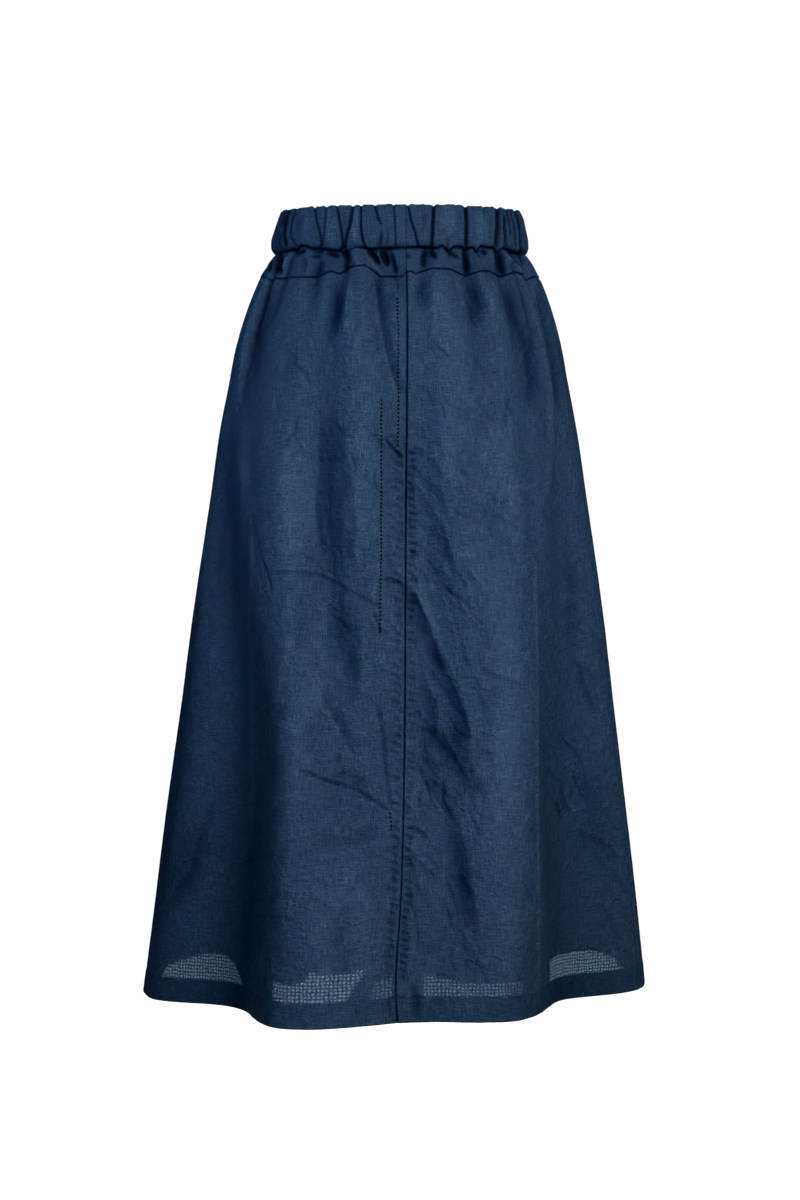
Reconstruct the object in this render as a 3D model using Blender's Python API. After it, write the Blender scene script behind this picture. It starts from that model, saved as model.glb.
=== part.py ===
"""A gathered linen skirt with an elastic waist, hanging in the shape it takes when it is worn.

The front faces -Y and the skirt hangs down -Z. The origin is the middle of the waist opening, half way
up the elastic casing. Angles are degrees round the waist from the centre front, positive towards +X.

The cloth is three rings, one above the other, each cut into a front left, a front right and a back:
the gathered casing round the elastic, the strip sewn below it, and the long flared panels. A ring's
plan is an ellipse whose half sizes come from a table of sections. Folds push it in or out.
"""

import math
from typing import NamedTuple

import bmesh
import bpy
import numpy as np

# Heights of the sewing lines, in metres from the middle of the casing.
CASING_TOP = 0.0200
GROOVE = -0.0210
SEAM = -0.0460
HEM = -0.7215
HEM_TURN = 0.0220

# Walls. The casing is two layers of gathered cloth with the elastic between them.
CASING_WALL = 0.0036
STRIP_WALL = 0.0018
CLOTH_WALL = 0.0012
HEM_WALL = 0.0024
SEWN_GAP = 0.0003

# The side seams lie forward of the widest line.
SIDE_SEAM = 80.0

# How far apart the wall's columns stand, in degrees.
FRONT_STEP = 3.0
BACK_STEP = 3.5

# How much of a gather's push the strip's lower seam rises or falls by, how high the crests carry it,
# and how far below the seam and above the hem the cloth still sways with them.
SEAM_FOLLOW = 0.8
SEAM_CREST = 0.0025
SEAM_SWAY = 0.090
HEM_SWAY = 0.220


class Section(NamedTuple):
    """Half sizes of the ring at one height: to the left, right, front and back of the axis."""

    z: float
    left: float
    right: float
    front: float
    back: float


# The casing bellies over its elastic and leans in at the top. The groove is its lowest row.
CASING_SECTIONS = (
    Section(-0.0210, 0.1195, 0.1195, 0.0885, 0.0905),
    Section(-0.0180, 0.1218, 0.1218, 0.0905, 0.0925),
    Section(-0.0110, 0.1230, 0.1225, 0.0915, 0.0935),
    Section(0.0030, 0.1195, 0.1200, 0.0890, 0.0910),
    Section(0.0120, 0.1165, 0.1180, 0.0870, 0.0890),
    Section(0.0200, 0.1135, 0.1150, 0.0850, 0.0870),
)

# The strip springs out from the groove, the panels round over the hips and then flare to the hem.
SKIRT_SECTIONS = (
    Section(-0.7215, 0.2470, 0.2350, 0.1950, 0.1700),
    Section(-0.6400, 0.2365, 0.2270, 0.1840, 0.1700),
    Section(-0.5440, 0.2245, 0.2160, 0.1710, 0.1680),
    Section(-0.4480, 0.2110, 0.2045, 0.1590, 0.1640),
    Section(-0.3520, 0.1985, 0.1930, 0.1470, 0.1570),
    Section(-0.2560, 0.1840, 0.1790, 0.1350, 0.1480),
    Section(-0.1890, 0.1740, 0.1690, 0.1260, 0.1400),
    Section(-0.1410, 0.1640, 0.1600, 0.1190, 0.1310),
    Section(-0.1020, 0.1565, 0.1525, 0.1130, 0.1220),
    Section(-0.0730, 0.1470, 0.1440, 0.1080, 0.1140),
    Section(-0.0540, 0.1390, 0.1370, 0.1030, 0.1070),
    Section(-0.0400, 0.1325, 0.1306, 0.0985, 0.1010),
    Section(-0.0300, 0.1270, 0.1260, 0.0945, 0.0965),
    Section(-0.0250, 0.1232, 0.1228, 0.0915, 0.0935),
    Section(-0.0210, 0.1195, 0.1195, 0.0885, 0.0905),
)

# Heights at which each long fold's place and push are given: hem, knee, hip and the strip's seam.
FOLD_STATIONS = (-0.7215, -0.4500, -0.1900, -0.0460)


class Fold(NamedTuple):
    """One long fold: its angle and outward push at the four stations, hem first, and its reach."""

    angle: tuple
    push: tuple
    reach_hem: float
    reach_top: float


LONG_FOLDS = (
    # Front left: the deep flute beside the side seam, and the big ridge that throws its shadow.
    Fold((-47, -50, -68, -60), (-0.031, -0.019, -0.007, -0.002), 26, 14),
    Fold((-20, -25, -41, -45), (0.040, 0.021, 0.006, 0.001), 21, 13),
    # Front left, nearer the middle: a valley and a ridge that die out towards the hem.
    Fold((-12, -17, -28, -31), (0.000, -0.005, -0.008, -0.003), 11, 9),
    Fold((-4, -8, -13, -15), (0.012, 0.006, 0.005, 0.001), 16, 9),
    # Centre front: the valley that slants away from the seam, and the long ridge to its right.
    Fold((14, 11, 4, 5), (-0.001, -0.008, -0.006, -0.002), 10, 9),
    Fold((21, 25, 17, 17), (0.016, 0.014, 0.006, 0.001), 23, 10),
    # Front right: a hip ridge that joins the long one, and the wide flute beside the side seam.
    Fold((34, 33, 36, 41), (-0.003, 0.006, 0.006, 0.001), 11, 10),
    Fold((54, 56, 62, 60), (-0.050, -0.024, -0.006, -0.002), 30, 14),
    # Back, from the left side seam round to the right one.
    Fold((-96, -92, -90, -92), (-0.004, -0.006, -0.004, -0.001), 14, 12),
    Fold((-128, -126, -122, -120), (0.034, 0.021, 0.007, 0.001), 22, 14),
    Fold((-153, -150, -146, -144), (-0.034, -0.016, -0.008, -0.002), 20, 12),
    Fold((-177, -174, -168, -166), (0.002, 0.006, 0.006, 0.001), 20, 12),
    Fold((158, 161, 164, 166), (-0.030, -0.018, -0.008, -0.002), 20, 12),
    Fold((130, 133, 138, 140), (0.034, 0.020, 0.007, 0.001), 21, 13),
    Fold((108, 110, 114, 116), (-0.006, -0.008, -0.006, -0.002), 13, 11),
)


class Gather(NamedTuple):
    """One gather below the casing: angle at the groove and at the seam, depth and length down."""

    groove: float
    seam: float
    depth: float
    length: float


GATHERS = (
    Gather(-74, -66, 0.0070, 0.150),
    Gather(-56, -54, 0.0030, 0.060),
    Gather(-38, -37, 0.0060, 0.130),
    Gather(-26, -23, 0.0060, 0.090),
    Gather(-13, -9, 0.0070, 0.110),
    Gather(-6, -2, 0.0050, 0.070),
    Gather(12, 10, 0.0050, 0.120),
    Gather(22, 20, 0.0030, 0.060),
    Gather(31, 29, 0.0070, 0.140),
    Gather(38, 38, 0.0025, 0.050),
    Gather(49, 46, 0.0070, 0.150),
    Gather(63, 58, 0.0055, 0.100),
    Gather(71, 67, 0.0050, 0.130),
    Gather(85, 82, 0.0055, 0.110),
    Gather(98, 97, 0.0045, 0.080),
    Gather(110, 112, 0.0065, 0.140),
    Gather(124, 122, 0.0040, 0.070),
    Gather(136, 137, 0.0065, 0.130),
    Gather(149, 151, 0.0050, 0.090),
    Gather(161, 160, 0.0065, 0.140),
    Gather(173, 175, 0.0040, 0.080),
    Gather(-173, -171, 0.0065, 0.120),
    Gather(-159, -160, 0.0045, 0.080),
    Gather(-147, -146, 0.0065, 0.140),
    Gather(-133, -135, 0.0045, 0.080),
    Gather(-121, -120, 0.0065, 0.130),
    Gather(-107, -108, 0.0045, 0.070),
    Gather(-94, -95, 0.0060, 0.120),
    Gather(-86, -84, 0.0045, 0.090),
)
GATHER_REACH = 3.4
GATHER_AT_GROOVE = 0.2
GATHER_ROUNDING = 0.006

# A wall's thickness is laid off square to the curve through two points this many degrees apart.
WALL_SAMPLE = 2.4


class Crease(NamedTuple):
    """One crease in the casing: its angle at the top and at the groove, and its depth at each."""

    top: float
    groove: float
    depth_top: float
    depth_groove: float


# The creases lean, some meet in a V at the groove and some fade on the way.
FRONT_CREASES = (
    Crease(-82, -81, 0.0012, 0.0014),
    Crease(-72, -72, 0.0016, 0.0014),
    Crease(-66, -62, 0.0020, 0.0018),
    Crease(-56, -54, 0.0002, 0.0018),
    Crease(-46, -39.5, 0.0022, 0.0022),
    Crease(-36, -36.5, 0.0020, 0.0022),
    Crease(-31, -28, 0.0020, 0.0020),
    Crease(-22.5, -25, 0.0021, 0.0022),
    Crease(-18, -17, 0.0020, 0.0022),
    Crease(-12.5, -10, 0.0022, 0.0008),
    Crease(-7.5, -6, 0.0002, 0.0012),
    Crease(-3.5, -1.5, 0.0018, 0.0006),
    Crease(5.5, 8, 0.0021, 0.0021),
    Crease(15, 13.5, 0.0020, 0.0022),
    Crease(23, 22, 0.0008, 0.0006),
    Crease(31, 30.5, 0.0023, 0.0022),
    Crease(41, 38, 0.0009, 0.0004),
    Crease(51, 48, 0.0023, 0.0023),
    Crease(57, 54, 0.0021, 0.0019),
    Crease(67, 69, 0.0016, 0.0018),
    Crease(82, 81, 0.0014, 0.0014),
)

# A crease is a sharp cut with a soft shoulder: half the cut's width in degrees, how sharp it is, and the
# shoulder's share of the depth and its width in cuts.
CREASE_REACH = 1.6
CREASE_SHARPNESS = 1.3
SHOULDER_SHARE = 0.22
SHOULDER_REACH = 1.9

# The back's creases stand at an even step between these angles. Waves that never fall into step with
# them shift, lean and deepen each one differently.
BACK_CREASES = 24
BACK_CREASE_FIRST = 90.0
BACK_CREASE_LAST = 270.0
BACK_CREASE_SHIFT = 1.9
BACK_CREASE_LEAN = 1.7
BACK_CREASE_DEPTH = 0.0017
BACK_CREASE_UNEVEN = 0.0005
SHIFT_WAVE = 2.4
LEAN_WAVE = 1.7
DEPTH_WAVE = 2.9


class HemLift(NamedTuple):
    """How far the hem rides above its level line at one angle."""

    angle: float
    lift: float


HEM_LIFTS = (
    HemLift(-180, -0.009),
    HemLift(-170, -0.008),
    HemLift(-158, -0.006),
    HemLift(-148, -0.003),
    HemLift(-137, 0.012),
    HemLift(-128, 0.011),
    HemLift(-105, 0.001),
    HemLift(-80, -0.003),
    HemLift(-50, -0.002),
    HemLift(-20, -0.004),
    HemLift(0, -0.001),
    HemLift(25, -0.002),
    HemLift(55, -0.001),
    HemLift(80, 0.002),
    HemLift(105, 0.010),
    HemLift(126, 0.011),
    HemLift(135, 0.012),
    HemLift(144, 0.002),
    HemLift(156, -0.016),
    HemLift(168, -0.012),
    HemLift(180, -0.009),
)


class SeamStation(NamedTuple):
    """Where the centre front seam runs at one height."""

    z: float
    angle: float


# The centre front seam drifts towards -X on its way down.
CENTRE_SEAM = (
    SeamStation(-0.7215, -0.6),
    SeamStation(-0.6900, -0.9),
    SeamStation(-0.6100, 0.2),
    SeamStation(-0.4700, 1.1),
    SeamStation(-0.3000, 1.6),
    SeamStation(-0.0500, 2.6),
    SeamStation(0.0200, 2.6),
)

NAVY = (0.030, 0.062, 0.110, 1.0)
LINEN_ROUGHNESS = 0.9


def table_curve(stations, values, at):
    """Smooth curve through a short table, read at each height or angle of `at`."""
    xs = np.asarray(stations, float)
    ys = np.asarray(values, float)
    slopes = np.gradient(ys, xs)
    i = np.clip(np.searchsorted(xs, at) - 1, 0, len(xs) - 2)
    width = xs[i + 1] - xs[i]
    t = np.clip((at - xs[i]) / width, 0.0, 1.0)
    start = (1 + 2 * t) * (1 - t) ** 2 * ys[i] + t * (1 - t) ** 2 * width * slopes[i]
    end = t * t * (3 - 2 * t) * ys[i + 1] + t * t * (t - 1) * width * slopes[i + 1]
    return start + end


def ease(low, high, at):
    """0 at `low`, 1 at `high`, with a level start and end."""
    t = np.clip((at - low) / (high - low), 0.0, 1.0)
    return t * t * (3 - 2 * t)


def turn_between(angle, centre):
    """The turn from `centre` to `angle`, from -180 to 180 degrees."""
    return (angle - centre + 180.0) % 360.0 - 180.0


def half_sizes(sections, angle, z):
    """The ring's half width and half depth on this angle's side, at each height."""
    stations = [row.z for row in sections]
    left, right, front, back = (
        table_curve(stations, [getattr(row, side) for row in sections], z)
        for side in ("left", "right", "front", "back")
    )
    turn = np.radians(angle)
    return np.where(np.sin(turn) < 0, left, right), np.where(np.cos(turn) > 0, front, back)


def pushed_plan(sections, angle, z, push):
    """Plan point of the ring at this angle and height, pushed out along the ellipse's normal."""
    across, along = half_sizes(sections, angle, z)
    turn = np.radians(angle)
    normal_x = np.sin(turn) / across
    normal_y = -np.cos(turn) / along
    length = np.hypot(normal_x, normal_y)
    x = across * np.sin(turn) + push * normal_x / length
    y = -along * np.cos(turn) + push * normal_y / length
    return x, y


def long_fold_push(angle, z):
    """Sum of the long folds' pushes."""
    total = np.zeros(np.broadcast(angle, z).shape)
    for fold in LONG_FOLDS:
        centre = table_curve(FOLD_STATIONS, fold.angle, z)
        reach = fold.reach_hem + (fold.reach_top - fold.reach_hem) * ease(HEM, SEAM, z)
        share = np.clip(turn_between(angle, centre) / reach, -1.0, 1.0)
        total += table_curve(FOLD_STATIONS, fold.push, z) * 0.5 * (1 + np.cos(math.pi * share))
    return total


def gather_push(angle, z):
    """Sum of the gathers' valleys: shallow at the groove, deepest at the seam, then fading."""
    total = np.zeros(np.broadcast(angle, z).shape)
    for gather in GATHERS:
        centre = gather.groove + (gather.seam - gather.groove) * ease(GROOVE, SEAM, z)
        share = turn_between(angle, centre) / GATHER_REACH
        grown = GATHER_AT_GROOVE + (1 - GATHER_AT_GROOVE) * ease(GROOVE, SEAM + GATHER_ROUNDING, z)
        remaining = ease(SEAM - gather.length, SEAM - GATHER_ROUNDING, z)
        total -= gather.depth * grown * remaining * np.exp(-share * share)
    return total


def seam_rise(angle):
    """How far the strip's lower seam rides above its level line."""
    return SEAM_CREST + SEAM_FOLLOW * gather_push(angle, np.full_like(angle, SEAM))


def hem_lift(angle):
    """How far the hem rides above its level line."""
    return table_curve([row.angle for row in HEM_LIFTS], [row.lift for row in HEM_LIFTS],
                       turn_between(angle, 0.0))


def skirt_surface(angle, level):
    """Outer face of the strip and panels at this angle and at this height before the seams sway."""
    z = level + seam_rise(angle) * ease(GROOVE, SEAM, level) * ease(SEAM - SEAM_SWAY, SEAM, level)
    z = z + hem_lift(angle) * ease(HEM + HEM_SWAY, HEM, level)
    push = long_fold_push(angle, level) + gather_push(angle, level)
    x, y = pushed_plan(SKIRT_SECTIONS, angle, level, push)
    return x, y, z


def back_creases():
    """The back's creases, evenly stepped and then made uneven."""
    step = (BACK_CREASE_LAST - BACK_CREASE_FIRST) / BACK_CREASES
    creases = []
    for i in range(BACK_CREASES):
        middle = BACK_CREASE_FIRST + (i + 0.5) * step + BACK_CREASE_SHIFT * math.sin(SHIFT_WAVE * i)
        half_lean = BACK_CREASE_LEAN / 2 * math.sin(LEAN_WAVE * i)
        uneven = BACK_CREASE_UNEVEN * math.sin(DEPTH_WAVE * i)
        creases.append(Crease(middle - half_lean, middle + half_lean,
                              BACK_CREASE_DEPTH + uneven, BACK_CREASE_DEPTH - uneven))
    return creases


CREASES = (*FRONT_CREASES, *back_creases())


def casing_push(angle, z):
    """Creases cut into the casing's face, which swells between them."""
    down = (CASING_TOP - z) / (CASING_TOP - GROOVE)
    push = np.zeros(np.broadcast(angle, z).shape)
    for crease in CREASES:
        centre = crease.top + (crease.groove - crease.top) * down
        depth = crease.depth_top + (crease.depth_groove - crease.depth_top) * down
        away = np.abs(turn_between(angle, centre)) / CREASE_REACH
        cut = (1 - SHOULDER_SHARE) * np.clip(1 - away, 0.0, 1.0) ** CREASE_SHARPNESS
        shoulder = SHOULDER_SHARE * np.exp(-(away / SHOULDER_REACH) ** 2)
        push = np.minimum(push, -depth * (cut + shoulder))
    return push


def casing_surface(angle, z, sunk=0.0):
    """Outer face of the casing, or a face `sunk` below the line of its crests."""
    if sunk:
        push = np.full_like(angle, -sunk)
    else:
        push = casing_push(angle, z)
    x, y = pushed_plan(CASING_SECTIONS, angle, z, push)
    return x, y, z


def inner_face(surface, angle, level, wall):
    """The face `wall` inside a surface, square to its plan curve."""
    x, y, z = surface(angle, level)
    before_x, before_y, _ = surface(angle - WALL_SAMPLE / 2, level)
    after_x, after_y, _ = surface(angle + WALL_SAMPLE / 2, level)
    along_x = after_x - before_x
    along_y = after_y - before_y
    length = np.hypot(along_x, along_y)
    return x - wall * along_y / length, y + wall * along_x / length, z


def centre_seam_angle(level):
    """Angle of the centre front seam at this height."""
    return table_curve([row.z for row in CENTRE_SEAM], [row.angle for row in CENTRE_SEAM], level)


def half_gap(angle, level, sections):
    """Half the sewn gap, in degrees, at the end of a piece."""
    across, along = half_sizes(sections, angle, level)
    turn = np.radians(angle)
    speed = np.hypot(across * np.cos(turn), along * np.sin(turn))
    return np.degrees(SEWN_GAP / 2 / speed)


class Span(NamedTuple):
    """The angles that one piece of a ring covers, as functions of height, and its column step."""

    name: str
    start: object
    end: object
    step: float


def steady(angle):
    """An edge that keeps one angle at every height."""
    return lambda level: np.full_like(level, angle)


SPANS = (
    Span("front_left", steady(-SIDE_SEAM), centre_seam_angle, FRONT_STEP),
    Span("front_right", centre_seam_angle, steady(SIDE_SEAM), FRONT_STEP),
    Span("back", steady(SIDE_SEAM), steady(360.0 - SIDE_SEAM), BACK_STEP),
)


def span_edges(span, level, sections):
    """The piece's first and last angle at each height, half a sewn gap inside its seams."""
    first = span.start(level)
    last = span.end(level)
    return first + half_gap(first, level, sections), last - half_gap(last, level, sections)


def walled_mesh(name, outer, inner, colour):
    """One closed wall from two grids of points, columns by rows, given from the top down."""
    mesh = bmesh.new()
    outside = [[mesh.verts.new(point) for point in column] for column in outer]
    inside = [[mesh.verts.new(point) for point in column] for column in inner]
    for i in range(len(outside) - 1):
        loop = outside[i] + inside[i][::-1]
        following = outside[i + 1] + inside[i + 1][::-1]
        for j in range(len(loop)):
            k = (j + 1) % len(loop)
            mesh.faces.new((loop[j], loop[k], following[k], following[j]))
    for column, backing in ((outside[0], inside[0]), (inside[-1], outside[-1])):
        close_end(mesh, column, backing)
    data = bpy.data.meshes.new(name)
    mesh.to_mesh(data)
    mesh.free()
    piece = bpy.data.objects.new(name, data)
    bpy.context.scene.collection.objects.link(piece)
    piece.data.materials.append(linen(name, colour))
    piece.data.shade_smooth()
    return piece


def close_end(mesh, column, backing):
    """Close a wall's end with a ladder of faces between its two edges, top to bottom."""
    i = 0
    j = 0
    while i < len(column) - 1 or j < len(backing) - 1:
        step_column = (i + 1) / (len(column) - 1)
        step_backing = (j + 1) / (len(backing) - 1)
        if step_column <= step_backing and i < len(column) - 1:
            mesh.faces.new((column[i + 1], column[i], backing[j]))
            i += 1
        else:
            mesh.faces.new((backing[j], backing[j + 1], column[i]))
            j += 1


def linen(name, colour):
    """The piece's own material."""
    material = bpy.data.materials.new(name + "_linen")
    material.use_nodes = True
    shader = material.node_tree.nodes["Principled BSDF"]
    shader.inputs["Base Color"].default_value = colour
    shader.inputs["Roughness"].default_value = LINEN_ROUGHNESS
    shader.inputs["Metallic"].default_value = 0.0
    return material


def columns_of(rows):
    """Turn a list of rows of x, y and z arrays into columns of points."""
    return [[tuple(float(axis[i]) for axis in row) for row in rows] for i in range(len(rows[0][0]))]


# Heights of each wall's rows, from the top down. The casing's crown rolls in over its first row.
STRIP_ROWS = (GROOVE - SEWN_GAP / 2, -0.0240, -0.0285, -0.0360, SEAM + SEWN_GAP / 2)
PANEL_ROWS = (SEAM - SEWN_GAP / 2, -0.054, -0.066, -0.085, -0.110, -0.145, -0.190, -0.250, -0.330,
              -0.420, -0.510, -0.600, -0.660, HEM + HEM_TURN)
TURN_STEP = 0.0012

CASING_ROWS = (0.0186, 0.0130, 0.0030, -0.0080, -0.0170, GROOVE + SEWN_GAP / 2)
CASING_BACKING_ROWS = (0.0180, 0.0000, GROOVE + SEWN_GAP / 2)
CASING_CROWN_SUNK = 0.0017
CREST_SHARE = 0.3


def build_skirt_piece(ring, span, rows, walls):
    """One piece of the strip or the panels, from its rows and the wall's thickness at each."""
    count = round((SIDE_SEAM if span.step == FRONT_STEP else 360.0 - 2 * SIDE_SEAM) / span.step) + 1
    share = np.linspace(0.0, 1.0, count)
    outer = []
    inner = []
    for level, wall in zip(rows, walls):
        levels = np.full_like(share, level)
        first, last = span_edges(span, levels, SKIRT_SECTIONS)
        angle = first + (last - first) * share
        outer.append(skirt_surface(angle, levels))
        inner.append(inner_face(skirt_surface, angle, levels, wall))
    return walled_mesh(f"{ring}_{span.name}", columns_of(outer), columns_of(inner), NAVY)


def build_strip(span):
    """The plain strip between the casing's channel stitching and the gathered seam."""
    return build_skirt_piece("waist_strip", span, STRIP_ROWS, [STRIP_WALL] * len(STRIP_ROWS))


def build_panel(span):
    """A flared panel, thicker inside where its hem is turned up."""
    rows = (*PANEL_ROWS, HEM + HEM_TURN - TURN_STEP, HEM)
    walls = [CLOTH_WALL] * len(PANEL_ROWS) + [HEM_WALL, HEM_WALL]
    return build_skirt_piece("panel", span, rows, walls)


def casing_columns(span):
    """Angles of a casing piece's columns at the top and at the groove: creases, flanks and crests."""
    ends = np.array([CASING_TOP, GROOVE])
    first, last = span_edges(span, ends, CASING_SECTIONS)
    valleys = []
    for crease in CREASES:
        pair = np.array([crease.top, crease.groove], float)
        if span.name == "back":
            pair = pair % 360.0
        if pair.min() > first.max() + CREASE_REACH and pair.max() < last.min() - CREASE_REACH:
            valleys.append(pair)
    valleys.sort(key=lambda pair: pair[0])
    stops = [first, *valleys, last]
    columns = [first]
    for before, after in zip(stops, stops[1:]):
        gap = after - before
        flank = np.minimum(CREASE_REACH, CREST_SHARE * gap)
        columns += [before + flank, (before + after) / 2, after - flank, after]
    return columns


def build_casing(span):
    """One piece of the gathered casing, rounded over at the top and pinched in at the groove."""
    columns = np.array(casing_columns(span))
    outer = []
    inner = []
    crown = columns[:, 0]
    outer.append(casing_surface(crown, np.full_like(crown, CASING_TOP), CASING_CROWN_SUNK))
    for rows, face, sunk in ((CASING_ROWS, outer, 0.0), (CASING_BACKING_ROWS, inner, CASING_WALL)):
        for level in rows:
            down = (CASING_TOP - level) / (CASING_TOP - GROOVE)
            angle = columns[:, 0] + (columns[:, 1] - columns[:, 0]) * down
            face.append(casing_surface(angle, np.full_like(angle, level), sunk))
    return walled_mesh(f"casing_{span.name}", columns_of(outer), columns_of(inner), NAVY)


def main():
    """Build every piece of the skirt."""
    for leftover in list(bpy.data.objects):
        bpy.data.objects.remove(leftover)
    for span in SPANS:
        build_casing(span)
        build_strip(span)
        build_panel(span)


if __name__ == "__main__":
    main()
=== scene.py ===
"""A gathered linen skirt, dressed on its CAD frame.

The front faces -Y and the skirt hangs down -Z, in metres, with the origin in the middle of the waist.
Angles are degrees round the waist from the centre front, positive towards +X. The form's tables are the
CAD model's own: this file lays the creases, seams, stitches and cloth over them.
"""

from __future__ import annotations

import logging
import math
from collections.abc import Callable
from dataclasses import dataclass, field
from enum import Enum
from functools import partial
from typing import Any, NamedTuple

import bpy
import numpy as np
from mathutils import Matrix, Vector

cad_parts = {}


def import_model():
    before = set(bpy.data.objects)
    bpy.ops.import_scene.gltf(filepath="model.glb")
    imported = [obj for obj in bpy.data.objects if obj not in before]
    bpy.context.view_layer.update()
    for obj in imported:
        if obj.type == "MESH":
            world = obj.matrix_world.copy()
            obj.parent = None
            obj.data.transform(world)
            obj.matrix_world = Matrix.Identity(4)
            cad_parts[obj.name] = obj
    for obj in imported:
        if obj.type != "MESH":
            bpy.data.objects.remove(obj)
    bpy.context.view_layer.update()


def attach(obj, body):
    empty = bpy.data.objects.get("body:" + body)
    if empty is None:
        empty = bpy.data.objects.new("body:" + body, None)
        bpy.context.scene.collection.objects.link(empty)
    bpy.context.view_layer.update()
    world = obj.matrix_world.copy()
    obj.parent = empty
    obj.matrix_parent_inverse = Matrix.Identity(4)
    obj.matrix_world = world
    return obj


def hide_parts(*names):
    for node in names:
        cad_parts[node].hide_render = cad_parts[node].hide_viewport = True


LOG = logging.getLogger("gathered_skirt")

MM = 0.001
FULL_TURN = 360.0
HALF_TURN = np.array([-1.0, -1.0, 1.0])


def table_of(kind: Callable[..., Any], rows: tuple[tuple[Any, ...], ...]) -> tuple[Any, ...]:
    """Read a table whose rows are all of one kind, with that kind's fields as its columns."""
    return tuple(kind(*row) for row in rows)


class Place(Enum):
    """The three cuts of each ring of cloth."""

    FRONT_LEFT = "front_left"
    FRONT_RIGHT = "front_right"
    BACK = "back"


class Section(NamedTuple):
    """Half sizes of a ring at one height: to the left, right, front and back of the axis."""

    z: float
    left: float
    right: float
    front: float
    back: float


class Fold(NamedTuple):
    """One long fold: its angle and outward push at the four stations, hem first, and its reach."""

    angle: tuple[float, ...]
    push: tuple[float, ...]
    reach_hem: float
    reach_top: float


class Gather(NamedTuple):
    """One gather below the casing: angle at the groove and at the seam, depth and length down."""

    groove: float
    seam: float
    depth: float
    length: float


class HemLift(NamedTuple):
    """How far the hem rides above its level line at one angle."""

    angle: float
    lift: float


CASING_SECTIONS = table_of(Section, (
    (-0.0210, 0.1195, 0.1195, 0.0885, 0.0905), (-0.0180, 0.1218, 0.1218, 0.0905, 0.0925),
    (-0.0110, 0.1230, 0.1225, 0.0915, 0.0935), (0.0030, 0.1195, 0.1200, 0.0890, 0.0910),
    (0.0120, 0.1165, 0.1180, 0.0870, 0.0890), (0.0200, 0.1135, 0.1150, 0.0850, 0.0870),
))

SKIRT_SECTIONS = table_of(Section, (
    (-0.7215, 0.2470, 0.2350, 0.1950, 0.1700), (-0.6400, 0.2365, 0.2270, 0.1840, 0.1700),
    (-0.5440, 0.2245, 0.2160, 0.1710, 0.1680), (-0.4480, 0.2110, 0.2045, 0.1590, 0.1640),
    (-0.3520, 0.1985, 0.1930, 0.1470, 0.1570), (-0.2560, 0.1840, 0.1790, 0.1350, 0.1480),
    (-0.1890, 0.1740, 0.1690, 0.1260, 0.1400), (-0.1410, 0.1640, 0.1600, 0.1190, 0.1310),
    (-0.1020, 0.1565, 0.1525, 0.1130, 0.1220), (-0.0730, 0.1470, 0.1440, 0.1080, 0.1140),
    (-0.0540, 0.1390, 0.1370, 0.1030, 0.1070), (-0.0400, 0.1325, 0.1306, 0.0985, 0.1010),
    (-0.0300, 0.1270, 0.1260, 0.0945, 0.0965), (-0.0250, 0.1232, 0.1228, 0.0915, 0.0935),
    (-0.0210, 0.1195, 0.1195, 0.0885, 0.0905),
))

# Heights at which each long fold's place and push are given: hem, knee, hip and the strip's seam.
FOLD_STATIONS = (-0.7215, -0.4500, -0.1900, -0.0460)

LONG_FOLDS = table_of(Fold, (
    ((-47, -50, -68, -60), (-0.031, -0.019, -0.007, -0.002), 26, 14),
    ((-20, -25, -41, -45), (0.040, 0.021, 0.006, 0.001), 21, 13),
    ((-12, -17, -28, -31), (0.000, -0.005, -0.008, -0.003), 11, 9),
    ((-4, -8, -13, -15), (0.012, 0.006, 0.005, 0.001), 16, 9),
    ((14, 11, 4, 5), (-0.001, -0.008, -0.006, -0.002), 10, 9),
    ((21, 25, 17, 17), (0.016, 0.014, 0.006, 0.001), 23, 10),
    ((34, 33, 36, 41), (-0.003, 0.006, 0.006, 0.001), 11, 10),
    ((54, 56, 62, 60), (-0.050, -0.024, -0.006, -0.002), 30, 14),
    ((-96, -92, -90, -92), (-0.004, -0.006, -0.004, -0.001), 14, 12),
    ((-128, -126, -122, -120), (0.034, 0.021, 0.007, 0.001), 22, 14),
    ((-153, -150, -146, -144), (-0.034, -0.016, -0.008, -0.002), 20, 12),
    ((-177, -174, -168, -166), (0.002, 0.006, 0.006, 0.001), 20, 12),
    ((158, 161, 164, 166), (-0.030, -0.018, -0.008, -0.002), 20, 12),
    ((130, 133, 138, 140), (0.034, 0.020, 0.007, 0.001), 21, 13),
    ((108, 110, 114, 116), (-0.006, -0.008, -0.006, -0.002), 13, 11),
))

GATHERS = table_of(Gather, (
    (-74, -66, 0.0070, 0.150), (-56, -54, 0.0030, 0.060), (-38, -37, 0.0060, 0.130),
    (-26, -23, 0.0060, 0.090), (-13, -9, 0.0070, 0.110), (-6, -2, 0.0050, 0.070),
    (12, 10, 0.0050, 0.120), (22, 20, 0.0030, 0.060), (31, 29, 0.0070, 0.140),
    (38, 38, 0.0025, 0.050), (49, 46, 0.0070, 0.150), (63, 58, 0.0055, 0.100),
    (71, 67, 0.0050, 0.130), (85, 82, 0.0055, 0.110), (98, 97, 0.0045, 0.080),
    (110, 112, 0.0065, 0.140), (124, 122, 0.0040, 0.070), (136, 137, 0.0065, 0.130),
    (149, 151, 0.0050, 0.090), (161, 160, 0.0065, 0.140), (173, 175, 0.0040, 0.080),
    (-173, -171, 0.0065, 0.120), (-159, -160, 0.0045, 0.080), (-147, -146, 0.0065, 0.140),
    (-133, -135, 0.0045, 0.080), (-121, -120, 0.0065, 0.130), (-107, -108, 0.0045, 0.070),
    (-94, -95, 0.0060, 0.120), (-86, -84, 0.0045, 0.090),
))

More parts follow.
